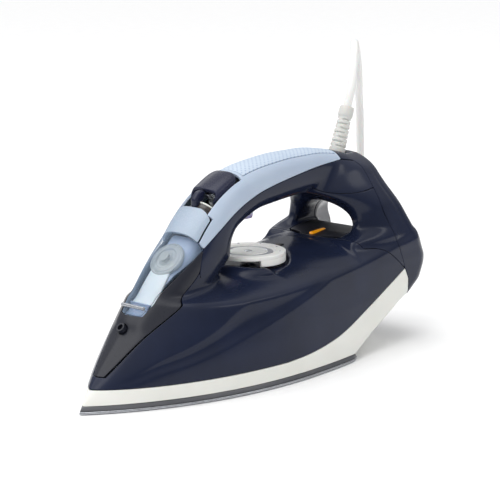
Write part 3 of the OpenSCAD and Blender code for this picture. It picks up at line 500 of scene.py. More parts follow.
def body_field():
    """Signed field of the outer form on the half grid, negative inside."""
    X2, Y2 = np.meshgrid(GX, GY, indexing="ij")
    levels = np.arange(3.0, 159.0, LEVEL_STEP)
    zl, zh = levels[levels <= 101], levels[levels >= 69]
    low = np.stack([outline_sdf(outline(z), X2, Y2) for z in zl], axis=2)
    high = np.stack([outline_sdf(outline(z, True), X2, Y2) for z in zh], axis=2)

    def spread_z(stack, zs):
        i = np.clip(((GZ - zs[0]) / LEVEL_STEP).astype(int), 0, len(zs) - 2)
        f = np.clip((GZ - zs[i]) / LEVEL_STEP, -9, 9)
        return stack[:, :, i] * (1 - f) + stack[:, :, i + 1] * f

    Xb, Yb, Zb = GX[:, None, None], GY[None, :, None], GZ[None, None, :]
    # the lower body under the deck, and the heel above it
    deck = DECK_Z + (Xb - DIAL_X) * DECK_SLOPE - DECK_CROWN * Yb ** 2
    f_low = spread_z(low, zl) - (sculpt(XX, ZZ)[:, None, :] * np.clip((Yb - 6) / 14, 0, 1))
    f_low = smax(f_low, Zb - deck, 2.6)
    f_high = spread_z(high, zh) - scallop(XX, ZZ)[:, None, :] * np.clip((Yb - 10) / 14, 0, 1)
    f_high = f_high + 4.0 * np.clip((85 - Zb) / 14, 0, 1)
    f_high = smax(f_high, 67.0 - Zb, 3.0)
    f_high = smax(f_high, Zb - 146.3 + 0.006 * Yb ** 2, 5.0)
    f = smin(f_low, f_high, 6.0)
    # the opening for the hand
    leg = poly_sdf(LEG_CURVE + [(200, 220), (-60, 220), (-60, 40)], XX, ZZ)[:, None, :]
    f = smax(f, -smax(deck - Zb, leg, 2.0), 2.6)
    # archway through the heel, and its flare
    s = np.clip((Xb - ARCH_X) / ARCH_RUN, 0, 2)
    a, b = ARCH_HALF + s * ARCH_FLARE, 21 + s * 17
    q = np.sqrt((Yb / a) ** 2 + (np.maximum(Zb - 90, 0) / b) ** 2)
    arch = smax((q - 1) * b, pchip(TUNNEL_FLOOR, Xb) - Zb, 4.0)
    f = smax(f, -smax(arch, 232 - Xb, 2.0), 4.0)
    # raised lip in front of the dial, then the dish that the dial turns in
    dial_r = np.hypot(Xb - DIAL_X, Yb)
    lip = smax((dial_r - LIP_R - 0.9 * (LIP_Z - Zb)) / 1.35, Zb - LIP_Z, 2.0)
    lip = smax(smax(lip, (Xb - LIP_FRONT - 0.5 * (LIP_Z - Zb)) / 1.12, 3.0), 74.5 - Zb, 3.0)
    lip = smax(lip, f_low - 4.0, 4.0)
    f = smin(f, lip, 4.0)
    dish = smax(smax(dial_r - DISH_R, DISH_Z - Zb, 2.0), Zb - 100, 2.0)
    f = smax(f, -dish, 1.6)
    # handle and column: a rounded section between the two station lines
    up, low_line = along_stations(0), along_stations(1)
    d_up, s_up = line_distance(up, XX, ZZ)
    d_low, s_low = line_distance(low_line, XX, ZZ)
    d_up, d_low = -s_up * d_up, s_low * d_low
    c = (d_low - d_up) / np.maximum(d_low + d_up, 6.0)
    q = np.linspace(0, len(STATIONS) - 1, STATION_STEPS)
    half = pchip([(i, st[2]) for i, st in enumerate(STATIONS)], q)
    weight, total = np.zeros(XX.shape), np.zeros(XX.shape)
    for u, l, w in zip(up, low_line, half):
        k = 1.0 / (((XX - (u[0] + l[0]) / 2) ** 2 + (ZZ - (u[1] + l[1]) / 2) ** 2) ** 2 + 50.0)
        weight += k * w
        total += k
    w = (weight / total)[:, None, :]
    n = HANDLE_POWER
    g = ((np.abs(c)[:, None, :] ** n + (Yb / w) ** n) ** (1 / n)) - 1
    gx, gy, gz = np.gradient(g, STEP)
    g = g / np.maximum(np.sqrt(gx * gx + gy * gy + gz * gz), 0.03)
    front = ((XX - 46) * 23 + (ZZ - 53) * 49) / math.hypot(23, 49)
    rear = ((XX - 269.5) * 31.5 - (ZZ - 146.5) * 7) / math.hypot(31.5, 7)
    g = smax(g, -front[:, None, :], 6.0)
    g = smax(g, rear[:, None, :], 6.0)
    return smin(f, g, 5.0).astype(np.float32)


def blurred(f):
    for axis in range(3):
        a = np.moveaxis(f, axis, 0)
        b = a.copy()
        b[1:-1] = 0.25 * a[:-2] + 0.5 * a[1:-1] + 0.25 * a[2:]
        f = np.moveaxis(b, 0, axis)
    return f


def differences(function, p, e):
    """How much a function of points grows along each axis, over a length of 2e."""
    return np.stack([function(p + e * axis) - function(p - e * axis) for axis in np.eye(3)], axis=1)


class Field:
    """A scalar grid with its origin and step, sampled between its points."""

    def __init__(self, values, origin, step):
        self.v = np.ascontiguousarray(values, dtype=np.float32)
        self.o, self.h = np.array(origin, float), float(step)

    def at(self, p):
        q = np.clip((p - self.o) / self.h, 0, np.array(self.v.shape) - 1.001)
        i = q.astype(int)
        f = (q - i).T
        out = 0.0
        for dx, dy, dz in product((0, 1), repeat=3):
            w = (f[0] if dx else 1 - f[0]) * (f[1] if dy else 1 - f[1]) * (f[2] if dz else 1 - f[2])
            out = out + w * self.v[i[:, 0] + dx, i[:, 1] + dy, i[:, 2] + dz]
        return out

    def grad(self, p):
        e = self.h * 0.75
        return differences(self.at, p, e) / (2 * e)


def nets(field, level=0.0):
    """Quads of the surface where the field crosses the level, facing outwards."""
    v = field.v - level
    inside = v < 0
    nx, ny, nz = v.shape
    count = np.zeros((nx - 1, ny - 1, nz - 1), np.int8)
    for dx, dy, dz in product((0, 1), repeat=3):
        count += inside[dx:nx - 1 + dx, dy:ny - 1 + dy, dz:nz - 1 + dz]
    cells = np.argwhere((count > 0) & (count < 8))
    ids = -np.ones((nx - 1, ny - 1, nz - 1), np.int32)
    ids[tuple(cells.T)] = np.arange(len(cells))
    total = np.zeros((len(cells), 3))
    hits = np.zeros(len(cells))
    for axis in range(3):
        others = [a for a in range(3) if a != axis]
        for shift in product((0, 1), repeat=2):
            a = cells.copy()
            a[:, others] += shift
            b = a.copy()
            b[:, axis] += 1
            va, vb = v[tuple(a.T)], v[tuple(b.T)]
            m = (va < 0) != (vb < 0)
            t = np.where(m, va / np.where(m, va - vb, 1), 0)
            total += (a + (b - a) * t[:, None]) * m[:, None]
            hits += m
    verts = field.o + (total / hits[:, None]) * field.h
    quads = []
    for axis in range(3):
        lo = [slice(1, -1)] * 3
        lo[axis] = slice(0, -1)
        hi = list(lo)
        hi[axis] = slice(1, None)
        a, b = inside[tuple(lo)], inside[tuple(hi)]
        cross = np.argwhere(a != b)
        if not len(cross):
            continue
        base = cross + np.array([0 if k == axis else 1 for k in range(3)])
        u, w = [(1, 2), (2, 0), (0, 1)][axis]
        ring = []
        for du, dw in ((-1, -1), (0, -1), (0, 0), (-1, 0)):
            c = base.copy()
            c[:, u] += du
            c[:, w] += dw
            ring.append(ids[tuple(c.T)])
        q = np.stack(ring, axis=1)
        starts_inside = a[tuple(cross.T)]
        q[~starts_inside] = q[~starts_inside][:, ::-1]
        quads.append(q)
    return verts, np.concatenate(quads)


def relaxed(verts, quads, field, rounds, level):
    """Evens the net out and puts its points back on the surface."""
    edges = np.concatenate([quads[:, [0, 1]], quads[:, [1, 2]], quads[:, [2, 3]], quads[:, [3, 0]]])
    for _ in range(rounds):
        acc = np.zeros_like(verts)
        num = np.zeros(len(verts))
        np.add.at(acc, edges[:, 0], verts[edges[:, 1]])
        np.add.at(num, edges[:, 0], 1)
        verts = 0.4 * verts + 0.6 * acc / np.maximum(num, 1)[:, None]
        g = field.grad(verts)
        d = field.at(verts) - level
        verts = verts - g * (d / np.maximum((g * g).sum(1), 1e-3))[:, None]
    return verts


def surface(field, rounds, level=0.0):
    verts, quads = nets(field, level)
    return relaxed(verts, quads, field, rounds, level), quads


def part_of(verts, quads, mask, field, depth=1.8, gap=0.15, edge=0.3):
    """The piece of a skin where mask is negative, with a small rolled edge turned in along its rim."""
    g = mask(verts)
    level = -(gap + edge)
    keep = g <= level
    inside = keep[quads]
    whole = inside.all(1)
    faces = [tuple(q) for q in quads[whole]]
    cut = quads[inside.any(1) & ~whole]
    new_points, new_index, rim = [], {}, []
    n0 = len(verts)

    def crossing(i, j):
        key = (i, j) if i < j else (j, i)
        if key not in new_index:
            t = (level - g[i]) / (g[j] - g[i])
            t = min(max(t, 0.02), 0.98)
            new_index[key] = n0 + len(new_points)
            new_points.append(verts[i] * (1 - t) + verts[j] * t)
        return new_index[key]

    for q in cut.tolist():
        for tri in ((q[0], q[1], q[2]), (q[0], q[2], q[3])):
            ins = [keep[k] for k in tri]
            if not any(ins):
                continue
            if all(ins):
                faces.append(tri)
                continue
            poly, new = [], []
            for k in range(3):
                i, j = tri[k], tri[(k + 1) % 3]
                if keep[i]:
                    poly.append(i)
                if keep[i] != keep[j]:
                    c = crossing(i, j)
                    poly.append(c)
                    new.append((c, bool(keep[i])))
            faces.append(tuple(poly))
            if len(new) == 2:
                a, b = (new[0][0], new[1][0]) if new[0][1] else (new[1][0], new[0][0])
                rim.append((a, b))
    allv = np.vstack([verts, np.array(new_points).reshape(-1, 3)])
    if rim:
        prev = np.arange(n0, len(allv))
        p = allv[prev]
        n = field.grad(p)
        n /= np.linalg.norm(n, axis=1)[:, None]
        o = differences(mask, p, 0.4)
        o -= (o * n).sum(1)[:, None] * n
        o /= np.maximum(np.linalg.norm(o, axis=1), 1e-6)[:, None]
        # how far each ring of the rolled edge goes out along the skin, and down into the body
        rings = [(0.55, 0.06), (0.88, 0.3), (1.0, 0.6), (1.0, depth)]
        for along, down in rings:
            start = len(allv)
            allv = np.vstack([allv, p + o * edge * along - n * down * (edge / 0.45 if down < 1 else 1)])
            for a, b in rim:
                faces.append((prev[a - n0], prev[b - n0], start + b - n0, start + a - n0)[::-1])
            prev = np.arange(start, len(allv))
    used = np.unique(np.concatenate([np.array(f) for f in faces])) if faces else np.array([], int)
    remap = -np.ones(len(allv), int)
    remap[used] = np.arange(len(used))
    return allv[used], [tuple(remap[list(f)]) for f in faces]


half = body_field()
full = np.concatenate([half[:, :0:-1, :], half], axis=1)
skin = Field(blurred(full), (GX[0], -GY[-1], GZ[0]), STEP)
skin_v, skin_q = surface(skin, 3)


def xz(points):
    return lambda p: poly_sdf(points, p[:, 0], p[:, 2])


def union(*masks):
    return lambda p: np.minimum.reduce([m(p) for m in masks])


def less(mask, *cuts):
    return lambda p: np.maximum.reduce([mask(p)] + [-c(p) for c in cuts])


def within(mask, half_width):
    return lambda p: np.maximum(mask(p), np.abs(p[:, 1]) - half_width)


def bore(at, axis, radius):
    return lambda p: np.linalg.norm(np.cross(p - np.array(at), np.array(axis)), axis=1) - radius


FAR = 99  # mm, a distance that no mask reaches
skirt_mask = xz([(-20, 5.45), (-20, 15.5)] + SKIRT_LINE + HEEL_SEAM + [(290, 5.45)])
tank_mask = xz([(-20, 15.5)] + SKIRT_LINE + SADDLE_SEAM + [(240, 90), (140, 84), (97.3, 80)]
               + FASCIA_SEAM[8:] + [(-20, 23)])
lower_mask = xz([(97.3, 80), (97.3, 82.5), (98.5, 90)] + BLUE_LINE + [(268, 142), (270.8, 138), (272, 130)]
                + HANDLE_SEAM + [(218, 124.5), (219, 100), (240, 90), (150, 75), (140, 75)])
upper_mask = xz(BLUE_LINE + [(255.5, 150), (255.5, 170), (80, 170), (94.4, 114)])
fascia_mask = xz(FASCIA_SEAM + [(-20, 23), (-20, 59.5)] + DOOR_EDGE)
door_mask = xz(DOOR_EDGE + [(94.2, 114.2), (90, 128), (20, 90), (20, 59.5)])
sleeve_mask = within(xz([(101.5, 99.2), (94.2, 113.6), (92, 130), (104, 134), (112.8, 124.5), (112.4, 118),
                         (110.5, 104.5)]), 17.2)
frame_mask = xz(SADDLE_SEAM[::-1] + [(282, 84), (275, 104.5)] + HANDLE_SEAM
                + [(218, 124.5), (219, 100), (240, 90)])
rear_mask = xz([(256, 170), (256, 150), (257, 144), (268, 142), (270.8, 138), (272, 130)] + REAR_SEAM[::-1]
               + HEEL_SEAM + [(345, 20), (345, 170)])
channel_low = within(xz([(80, 120), (94.4, 113.5), (101.5, 99.2), (113, 106), (118, 112.5), (109, 125),
                         (100, 140)]), 17.4)
channel_high = within(xz([(104, 120), (116, 108), (128, 118), (147, 132), (147, 160), (96, 150)]), 14.0)
grip_mask = within(xz([(150.5, 140), (148.5, 160), (150, 175), (253.4, 175), (253.4, 140)]), 12.9)
trigger_hole = within(xz([(155.2, 100), (170.8, 100), (170.8, 124), (155.2, 124)]), 6.6)
nozzle_bore, guard_bore = bore((44.4, 0, 50.4), (-0.743, 0, 0.669), 3.6), bore(GUARD_AT, (0.342, 0, 0.94), 7.2)
nozzle_hole = lambda p: nozzle_bore(p) + FAR * (p[:, 0] > 60)
guard_hole = lambda p: guard_bore(p) + FAR * (p[:, 2] < 120)


def deck_zone(p):
    x, y, z = p[:, 0], np.abs(p[:, 1]), p[:, 2]
    front = 238.5 - x + 0.012 * y * y
    flare = np.clip((x - ARCH_X) / ARCH_RUN, 0, 2) * ARCH_FLARE
    return np.maximum.reduce([y - 25.2 - flare, front, np.abs(z - pchip(TUNNEL_FLOOR, x)) - 1.6, x - 288])


shells = [
    ("tank_shell", less(union(tank_mask, lower_mask), trigger_hole, deck_zone), "navy",
     ("water_tank", "handle_lower"), "navy_shell"),
    ("skirt_shell", skirt_mask, "white", ("skirt",), "white_shell"),
    ("fascia_shell", less(fascia_mask, nozzle_hole), "charcoal", ("front_fascia",), "charcoal_shell"),
    ("door_shell", door_mask, "glass", ("fill_door",), "clear_blue"),
    ("sleeve_shell", sleeve_mask, "sleeve", ("steam_sleeve",), "ice_blue"),
    ("handle_cap", less(upper_mask, channel_low, channel_high, grip_mask), "pale_blue", ("handle_upper",),
     "pale_blue"),
    ("grip_pad", grip_mask, "grip", ("grip_insert",), "grip_blue"),
    ("deck_cover", deck_zone, "deck", ("deck_panel",), "charcoal_shell"),
    ("rear_legs", less(frame_mask, deck_zone), "navy", ("rear_frame",), "navy_shell"),
    ("rear_shell", less(rear_mask, guard_hole, deck_zone), "navy", ("rear_cover",), "navy_shell"),
]
for name, mask, mat, nodes_replaced, slot in shells:
    v, f = part_of(skin_v, skin_q, mask, skin)
    piece(name, v, f, mat, body="door" if name == "door_shell" else "iron", replaces=nodes_replaced, slot=slot)

# Painted shade: a dark sheet inside the skin that shows through the seams as shade, away from the door, the dial
# and the trigger
SHADE_SHEET_DEPTH = 3.4
coarse = Field(skin.v[::2, ::2, ::2], skin.o, STEP * 2)
shade_sheet_v, shade_sheet_q = surface(coarse, 1, -SHADE_SHEET_DEPTH)
nose_zone = xz([(30, 20), (30, 60), (60, 110), (100, 140), (150, 150), (150, 110), (130, 90), (95, 60)])
dial_zone = lambda p: np.hypot(p[:, 0] - DIAL_X, p[:, 1]) - 33 + FAR * (p[:, 2] > 90)
shade_sheet_mask = less(lambda p: p[:, 0] * 0 - FAR, nose_zone, dial_zone, trigger_hole)
lv, lf = part_of(shade_sheet_v, shade_sheet_q, shade_sheet_mask, coarse, depth=0.9)
# painted seam shade: the dark inner finish on this sheet
piece("seam_shade_sheet", lv, lf, "inner", slot="charcoal_shell")

# Helpers for the small pieces
def rounded(points, r, closed=True, n=4):
    """A polygon with its corners turned on arcs of about radius r."""
    pts = [np.array(p, float) for p in points]
    out = []
    count = len(pts)
    for i in range(count):
        if not closed and i in (0, count - 1):
            out.append(tuple(pts[i]))
            continue
        a, b, c = pts[i - 1], pts[i], pts[(i + 1) % count]
        la, lc = np.linalg.norm(a - b), np.linalg.norm(c - b)
        cut = min(r, 0.45 * la, 0.45 * lc)
        p, q = b + (a - b) / la * cut, b + (c - b) / lc * cut
        for k in range(n + 1):
            t = k / n
            out.append(tuple((1 - t) ** 2 * p + 2 * t * (1 - t) * b + t * t * q))
    return out


def ring_faces(rows, n, closed_rows):
    faces = []
    last = rows if closed_rows else rows - 1
    for j in range(last):
        k = (j + 1) % rows
        for i in range(n):
            faces.append((j * n + i, j * n + (i + 1) % n, k * n + (i + 1) % n, k * n + i))
    return faces


def frame_at(at, degrees):
    """Turns local points about Y, as the CAD's rotate does, then moves them."""
    a = math.radians(degrees)
    m = np.array([[math.cos(a), 0, math.sin(a)], [0, 1, 0], [-math.sin(a), 0, math.cos(a)]])
    return lambda p: np.asarray(p, float) @ m.T + np.array(at, float)


def stack(name, rings, mat, closed=False, flip=False, place=None, **kw):
    """A skin through rings, bottom first and anticlockwise from above unless flipped. A closed
    one joins its last ring to its first; any other has both ends capped."""
    n = len(rings[0])
    verts = np.array([p for r in rings for p in r], float)
    faces = ring_faces(len(rings), n, closed)
    caps = [] if closed else [tuple(range(n))[::-1], tuple(range(len(verts) - n, len(verts)))]
    if flip:
        faces, caps = [(a, d, c, b) for a, b, c, d in faces], [c[::-1] for c in caps]
    return piece(name, place(verts) if place else verts, faces + caps, mat, **kw)


def lathe(name, profile, place, mat, n=96, shape=None, **kw):
    """Turns a profile of (radius, height), listed from bottom to top on the outside."""
    rings = []
    for r, z in profile:
        turns = [(shape(r, z, a) if shape else r, a) for a in (2 * math.pi * i / n for i in range(n))]
        rings.append([(rr * math.cos(a), rr * math.sin(a), z) for rr, a in turns])
    return stack(name, rings, mat, place=place, **kw)


def shrunk(points, d):
    """A closed polygon moved inwards along its averaged normals."""
    p = np.array(points, float)
    t = np.roll(p, -1, 0) - np.roll(p, 1, 0)
    t /= np.maximum(np.linalg.norm(t, axis=1), 1e-9)[:, None]
    area = 0.5 * np.sum(p[:, 0] * np.roll(p[:, 1], -1) - np.roll(p[:, 0], -1) * p[:, 1])
    nrm = np.stack([-t[:, 1], t[:, 0]], 1) * np.sign(area)
    return p + nrm * d


def prism(name, points, width, mat, edge=0.4, corner=0.6, y0=0.0, **kw):
    """A side profile in XZ drawn out across Y, with its long edges eased."""
    base = rounded(points, corner)
    area = 0.5 * sum(a[0] * b[1] - b[0] * a[1] for a, b in zip(base, base[1:] + base[:1]))
    if area < 0:
        base = base[::-1]
    rings = []
    for d, y in ((edge, width / 2), (edge * 0.3, width / 2 - edge * 0.3), (0, width / 2 - edge),
                 (0, -width / 2 + edge), (edge * 0.3, -width / 2 + edge * 0.3), (edge, -width / 2)):
        rings.append([(p[0], y0 + y, p[1]) for p in shrunk(base, d)])
    return stack(name, rings, mat, **kw)


def level_ring(z, inset):
    """The sole's outline, closed and moved inwards, at a height."""
    side = outline(0.0, inset=inset)
    mirrored = side[1:-1][::-1] * np.array([1, -1])
    return [(p[0], p[1], z) for p in np.vstack([side, mirrored])[::-1]]


# Sole and casting
HOLE_SIDES = 20


def sole_piece():
    rings = [level_ring(z, d) for z, d in ((0.0, 1.3), (0.12, 0.7), (0.4, 0.2), (0.9, 0), (1.5, 0),
                                           (1.85, 0.2), (2.1, 0.7), (2.2, 1.6))]
    n = len(rings[0])
    bm = bmesh.new()
    grid = [[bm.verts.new(row(p)) for p in r] for r in rings]
    for a, b in zip(grid[:-1], grid[1:]):
        for i in range(n):
            bm.faces.new((a[i], a[(i + 1) % n], b[(i + 1) % n], b[i]))
    bm.faces.new(grid[-1])
    bottom = [bm.edges.get((grid[0][i], grid[0][(i + 1) % n])) for i in range(n)]
    # steam holes: one at the nose, then twelve pairs that spread towards the heel
    holes = [(24.0, 0.0)] + [(38 + 16 * i, s * (5 + 3.4 * i)) for i in range(12) for s in (-1, 1)]
    for cx, cy in holes:
        loops = []
        for r, z in ((1.7, 0.0), (1.35, 0.3), (1.3, 1.7)):
            loops.append([bm.verts.new(row((cx + r * math.cos(a), cy + r * math.sin(a), z)))
                          for a in np.linspace(0, 2 * math.pi, HOLE_SIDES + 1)[:-1]])
        pairs = [(i, (i + 1) % HOLE_SIDES) for i in range(HOLE_SIDES)]
        for a, b in zip(loops[:-1], loops[1:]):
            for i, j in pairs:
                bm.faces.new((a[i], b[i], b[j], a[j]))
        bm.faces.new(loops[-1][::-1])
        bottom += [bm.edges.get((loops[0][i], loops[0][j])) for i, j in pairs]
    bmesh.ops.triangle_fill(bm, use_beauty=True, use_dissolve=False, edges=bottom, normal=(0, 0, -1))
    bmesh.ops.recalc_face_normals(bm, faces=bm.faces)
    mesh = bpy.data.meshes.new("sole_plate")
    bm.to_mesh(mesh)
    bm.free()
    finished("sole_plate", mesh, "sole", replaces=("soleplate",), slot="sole_metal", sharp=35)


sole_piece()
stack("casting_rim", [level_ring(z, d) for z, d in ((2.25, 0.9), (2.5, 0.6), (3.3, 0.9), (4.8, 1.5),
                                                    (5.3, 2.0), (5.5, 3.2))],
      "cast", slot="cast_metal", sharp=40)

# Lamp and pointer on the deck
MARK_SLOPE = 0.1016
capsule = rounded([(241, -1.7), (258, -1.7), (258, 1.7), (241, 1.7)], 1.5, n=6)
stack("lamp_bar", [[(p[0], p[1], float(pchip(TUNNEL_FLOOR, p[0])) + h) for p in shrunk(capsule, d)]
                   for h, d in ((-1.5, 0), (0.15, 0), (0.45, 0.25), (0.6, 0.7))],
      "amber", replaces=("lamp_lens",), slot="amber_lens", sharp=50)
mark = rounded([(203.2, -3.1), (206.6, -3.1), (206.6, 3.1), (203.2, 3.1)], 0.5)
stack("pointer_mark", [[(p[0], p[1], DECK_Z + (p[0] - DIAL_X) * MARK_SLOPE + h) for p in shrunk(mark, d)]
                       for h, d in ((-0.8, 0), (0.3, 0), (0.5, 0.25))],
      "pointer", replaces=("dial_pointer",), slot="pointer_black", sharp=50)

# Dial, with its grip and its dots
place_dial = frame_at((DIAL_X, 0, 0), 0)
ON_DIAL = {"body": "dial", "slot": "dial_white"}
TRIM = {"body": "dial", "slot": "sole_metal"}
lathe("dial_knob", rounded([(3.02, 76.5), (6, 76.5), (6, 82.2), (27.5, 82.2), (27.5, 85.3), (20.2, 85.3),
                            (19.2, 84.2), (3.02, 84.2)], 0.6),
      place_dial, "dial", closed=True, replaces=("thermostat_dial",), sharp=60, **ON_DIAL)
lathe("dial_hub", rounded([(2.9, 84.1), (13.5, 84.1), (13.0, 84.9), (9.5, 84.7), (2.9, 84.6)], 0.3),
      place_dial, "dial", closed=True, sharp=60, **ON_DIAL)
lathe("dial_inlay", rounded([(14.2, 84.1), (18.6, 84.1), (18.2, 84.45), (14.6, 84.45)], 0.15), place_dial,
      "silver", closed=True, sharp=60, **TRIM)
lathe("dial_cap", [(2.9, 84.0), (2.9, 84.75), (2.2, 84.95), (1.2, 85.05), (0.3, 85.08)], place_dial, "silver",
      n=48, **TRIM)
section = rounded([(27.5, 77.7), (27.5, 82.6), (24.2, 82.6), (24.2, 77.7)], 0.7)
stack("dial_grip", [[(DIAL_X + r * math.cos(a), r * math.sin(a), z) for r, z in section]
                    for a in np.radians(np.linspace(-118, 10, 66))],
      "dial", flip=True, sharp=50, **ON_DIAL)
DOT_RING = 23.6
for i in range(7):
    a, grown = math.radians(-60 + 40 * i), 0.16 * i
    lathe("dial_dot_%d" % i, [(0.55 + grown, 85.2), (0.55 + grown, 85.42), (0.35 + grown, 85.5)],
          frame_at((DIAL_X + DOT_RING * math.cos(a), DOT_RING * math.sin(a), 0), 0), "silver", n=24, **TRIM)

# Steam wheel, lever, ring and button
COLUMN_AT, COLUMN_TURN = (123.7, 0, 116.2), 47
BUTTON_AT, BUTTON_TURN = (131, 0, 135), 36
COLUMN = frame_at(COLUMN_AT, COLUMN_TURN)
lathe("steam_wheel_drum", rounded([(4.1, -14), (12.5, -14), (12.5, -1.2), (12.25, -0.9), (12.25, -0.3), (12.5, 0),
                                   (12.5, 2.6), (4.1, 2.6)], 0.35),
      COLUMN, "drum", closed=True, body="steam_wheel", replaces=("steam_drum",), slot="drum_dark", sharp=50)
prism("steam_fin", [(113.3, 124), (112.3, 129.8), (116.4, 134.6), (119, 135.4), (122.5, 135.2), (122.7, 130.5),
                    (118.9, 126.0), (116.0, 122.6)], 4.6, "button", edge=1.1, corner=1.4, body="steam_wheel",
      replaces=("steam_lever",), slot="button_navy", sharp=45)
lathe("white_ring", rounded([(4.0, 2.9), (12.6, 2.9), (12.6, 4.1), (11.9, 4.3), (4.0, 4.3)], 0.3), COLUMN,
      "white", closed=True, replaces=("drum_ring",), slot="white_shell", sharp=60)


def button_field(x, y, z):
    """The spray button: a domed cap, hollow below, with room for the lever's swing and the drum."""
    c, s = math.cos(math.radians(BUTTON_TURN)), math.sin(math.radians(BUTTON_TURN))
    dx, dz = x - BUTTON_AT[0], z - BUTTON_AT[2]
    u = dx * c + dz * s
    w = -dx * s + dz * c
    box_u, box_v = np.abs(u - 2.25) - 15.75 + 8, np.abs(y) - 13.0 + 8
    plan = np.hypot(np.maximum(box_u, 0), np.maximum(box_v, 0)) + np.minimum(np.maximum(box_u, box_v), 0) - 8
    plan = plan + np.maximum(w, 0) * 0.2
    top = w - (5.9 - 0.12 * (u + 4) - 1.9 * (np.abs(y) / 11.0) ** 2.4 - 0.003 * (u + 2) ** 2)
    f = smax(smax(plan, top, 2.4), -w - 3.7, 0.8)
    hollow = smax(smax(plan + 2.4, w - 1.0, 1.0), -w - 9, 1.0)
    f = smax(f, -hollow, 0.8)
    c, s = math.cos(math.radians(COLUMN_TURN)), math.sin(math.radians(COLUMN_TURN))
    dx, dz = x - COLUMN_AT[0], z - COLUMN_AT[2]
    axial = dx * s + dz * c
    b = dx * c - dz * s
    wedge = (np.abs(y) - (4.5 - b) * 0.68) * 0.85
    swing = smax(smax(axial - 12.6, np.hypot(b, y) - 21.0, 1.0), wedge, 3.0)
    drum = smax(np.hypot(b, y) - 13.6, axial - 4.9, 0.6)
    return smax(smax(f, -swing, 1.6), -drum, 0.8)


BUTTON_LOW, BUTTON_HIGH, BUTTON_STEP = (114.0, -14.5, 122.0), (150.0, 15.0, 150.0), 0.6
grid = np.meshgrid(*[np.arange(a, b, BUTTON_STEP) for a, b in zip(BUTTON_LOW, BUTTON_HIGH)], indexing="ij")
button_v, button_q = surface(Field(blurred(button_field(*grid)), BUTTON_LOW, BUTTON_STEP), 2)
piece("spray_button", button_v, button_q.tolist(), "button", body="button", replaces=("button_cap",),
      slot="button_navy")

# Trigger: height, front, back and half width of each ring
trigger_rings = [
    [(p[0], p[1], z) for p in rounded([(x0, -hw), (x1, -hw), (x1, hw), (x0, hw)], 1.6, n=5)]
    for z, x0, x1, hw in ((109.4, 161.8, 168.8, 4.2), (109.7, 161.0, 169.3, 4.8), (110.6, 159.6, 169.7, 5.2),
                          (112.2, 157.6, 169.8, 5.5), (114.5, 156.4, 169.8, 5.6), (120.0, 156.3, 169.8, 5.6),
                          (121.4, 156.4, 169.6, 5.5))]
stack("trigger_key", trigger_rings, "lilac", body="trigger", replaces=("steam_trigger",), slot="lilac_trigger",
      sharp=60)


# Coil springs behind the button and the trigger
def coil_spring(name, place, radius, wire, low, high, turns, node):
    steps, sides = turns * 22, 8
    ring, rings = [2 * math.pi * j / sides for j in range(sides)], []
    for k in range(steps + 1):
        a, z = 2 * math.pi * turns * k / steps, low + wire + (high - low - 2 * wire) * k / steps
        wires = [(radius - wire + wire * math.cos(b), z + wire * math.sin(b)) for b in ring]
        rings.append([(r * math.cos(a), r * math.sin(a), h) for r, h in wires])
    obj = stack(name, rings, "spring", flip=True, place=place, replaces=(node,), slot="spring_steel", sharp=60)
    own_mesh(obj)


coil_spring("button_coil", frame_at(BUTTON_AT, -BUTTON_TURN), 5.2, 0.65, -9.4, -0.4, 5, "button_spring")
coil_spring("trigger_coil", frame_at((163, 0, 0), 0), 3.5, 0.5, 121.9, 130.0, 6, "trigger_spring")

# Strain guard, with slots that leave a bridge on alternate sides
SLOT_LOW, SLOT_HIGH, SLOT_PITCH = 2.4, 27.2, 3.55


def guard_shape(r, z, a):
    if r < 4.2 or z < SLOT_LOW or z > SLOT_HIGH:
        return r
    k = math.floor((z - SLOT_LOW) / SLOT_PITCH)
    f = (z - SLOT_LOW) / SLOT_PITCH - k
    groove = max(0.0, 1.0 - abs(f - 0.5) / 0.2)
    turn = a + (math.pi / 2 if k % 2 else 0.0)
    bridge = min(1.0, max(0.0, (abs(math.sin(turn)) - 0.28) / 0.16))
    return r - 1.25 * min(1.0, groove * 1.6) * bridge


guard_profile = [(3.45, -6), (9, -6), (9, -3.8), (8.8, -3.5), (6.6, -3.4), (6.5, -3.0)]
guard_profile += [(6.5 - (z + 2.6) / 30 * 1.35, float(z)) for z in np.arange(-2.6, 27.5, 0.29)]
guard_profile += [(5.3, 27.9), (5.75, 28.6), (5.85, 30), (5.75, 33), (5.5, 35.4), (5.2, 35.9), (4.4, 36),
                  (3.45, 35.8)]
lathe("strain_guard", guard_profile, frame_at(GUARD_AT, 20), "guard", n=72, closed=True, shape=guard_shape,
      replaces=("cord_guard",), slot="cord_white", sharp=70)

# Fill well, chute, the trough that the door's hinge turns in, and the door's plug
WELL_DEPTH, CHUTE_DEPTH = 6.0, 4.4
HINGE_X, HINGE_Z = 54, 64.5
well_v, well_q = surface(skin, 2, -WELL_DEPTH)
door_inner = xz([(55, 60), (60, 65.5), (67, 72.5), (81, 85), (102.5, 98), (95, 112), (80, 112), (30, 66), (45, 52)])
chute_side = xz([(52, 60), (62, 56), (92, 86), (80, 98)])
chute_zone = lambda p: np.maximum(chute_side(p), np.abs(p[:, 1]) - 11.5 + 0.12 * np.maximum(p[:, 0] - 60, 0))
hinge_room = lambda p: 6.9 - np.hypot(p[:, 0] - HINGE_X, p[:, 2] - HINGE_Z)
wv, wf = part_of(well_v, well_q, lambda p: np.maximum(door_inner(p) - 3.0, hinge_room(p)), skin, depth=1.0,
                 gap=0.0)
piece("well_wall", wv, wf, "well", replaces=("fill_well",), slot="inner_white")
chute_v, chute_q = surface(skin, 2, -CHUTE_DEPTH)
cv, cf = part_of(chute_v, chute_q, lambda p: np.maximum(chute_zone(p), hinge_room(p)), skin, depth=1.7,
                 gap=0.0, edge=0.9)
piece("fill_chute", cv, cf, "chute", slot="inner_white")
sweep = np.radians(np.linspace(-98, 8, 16))
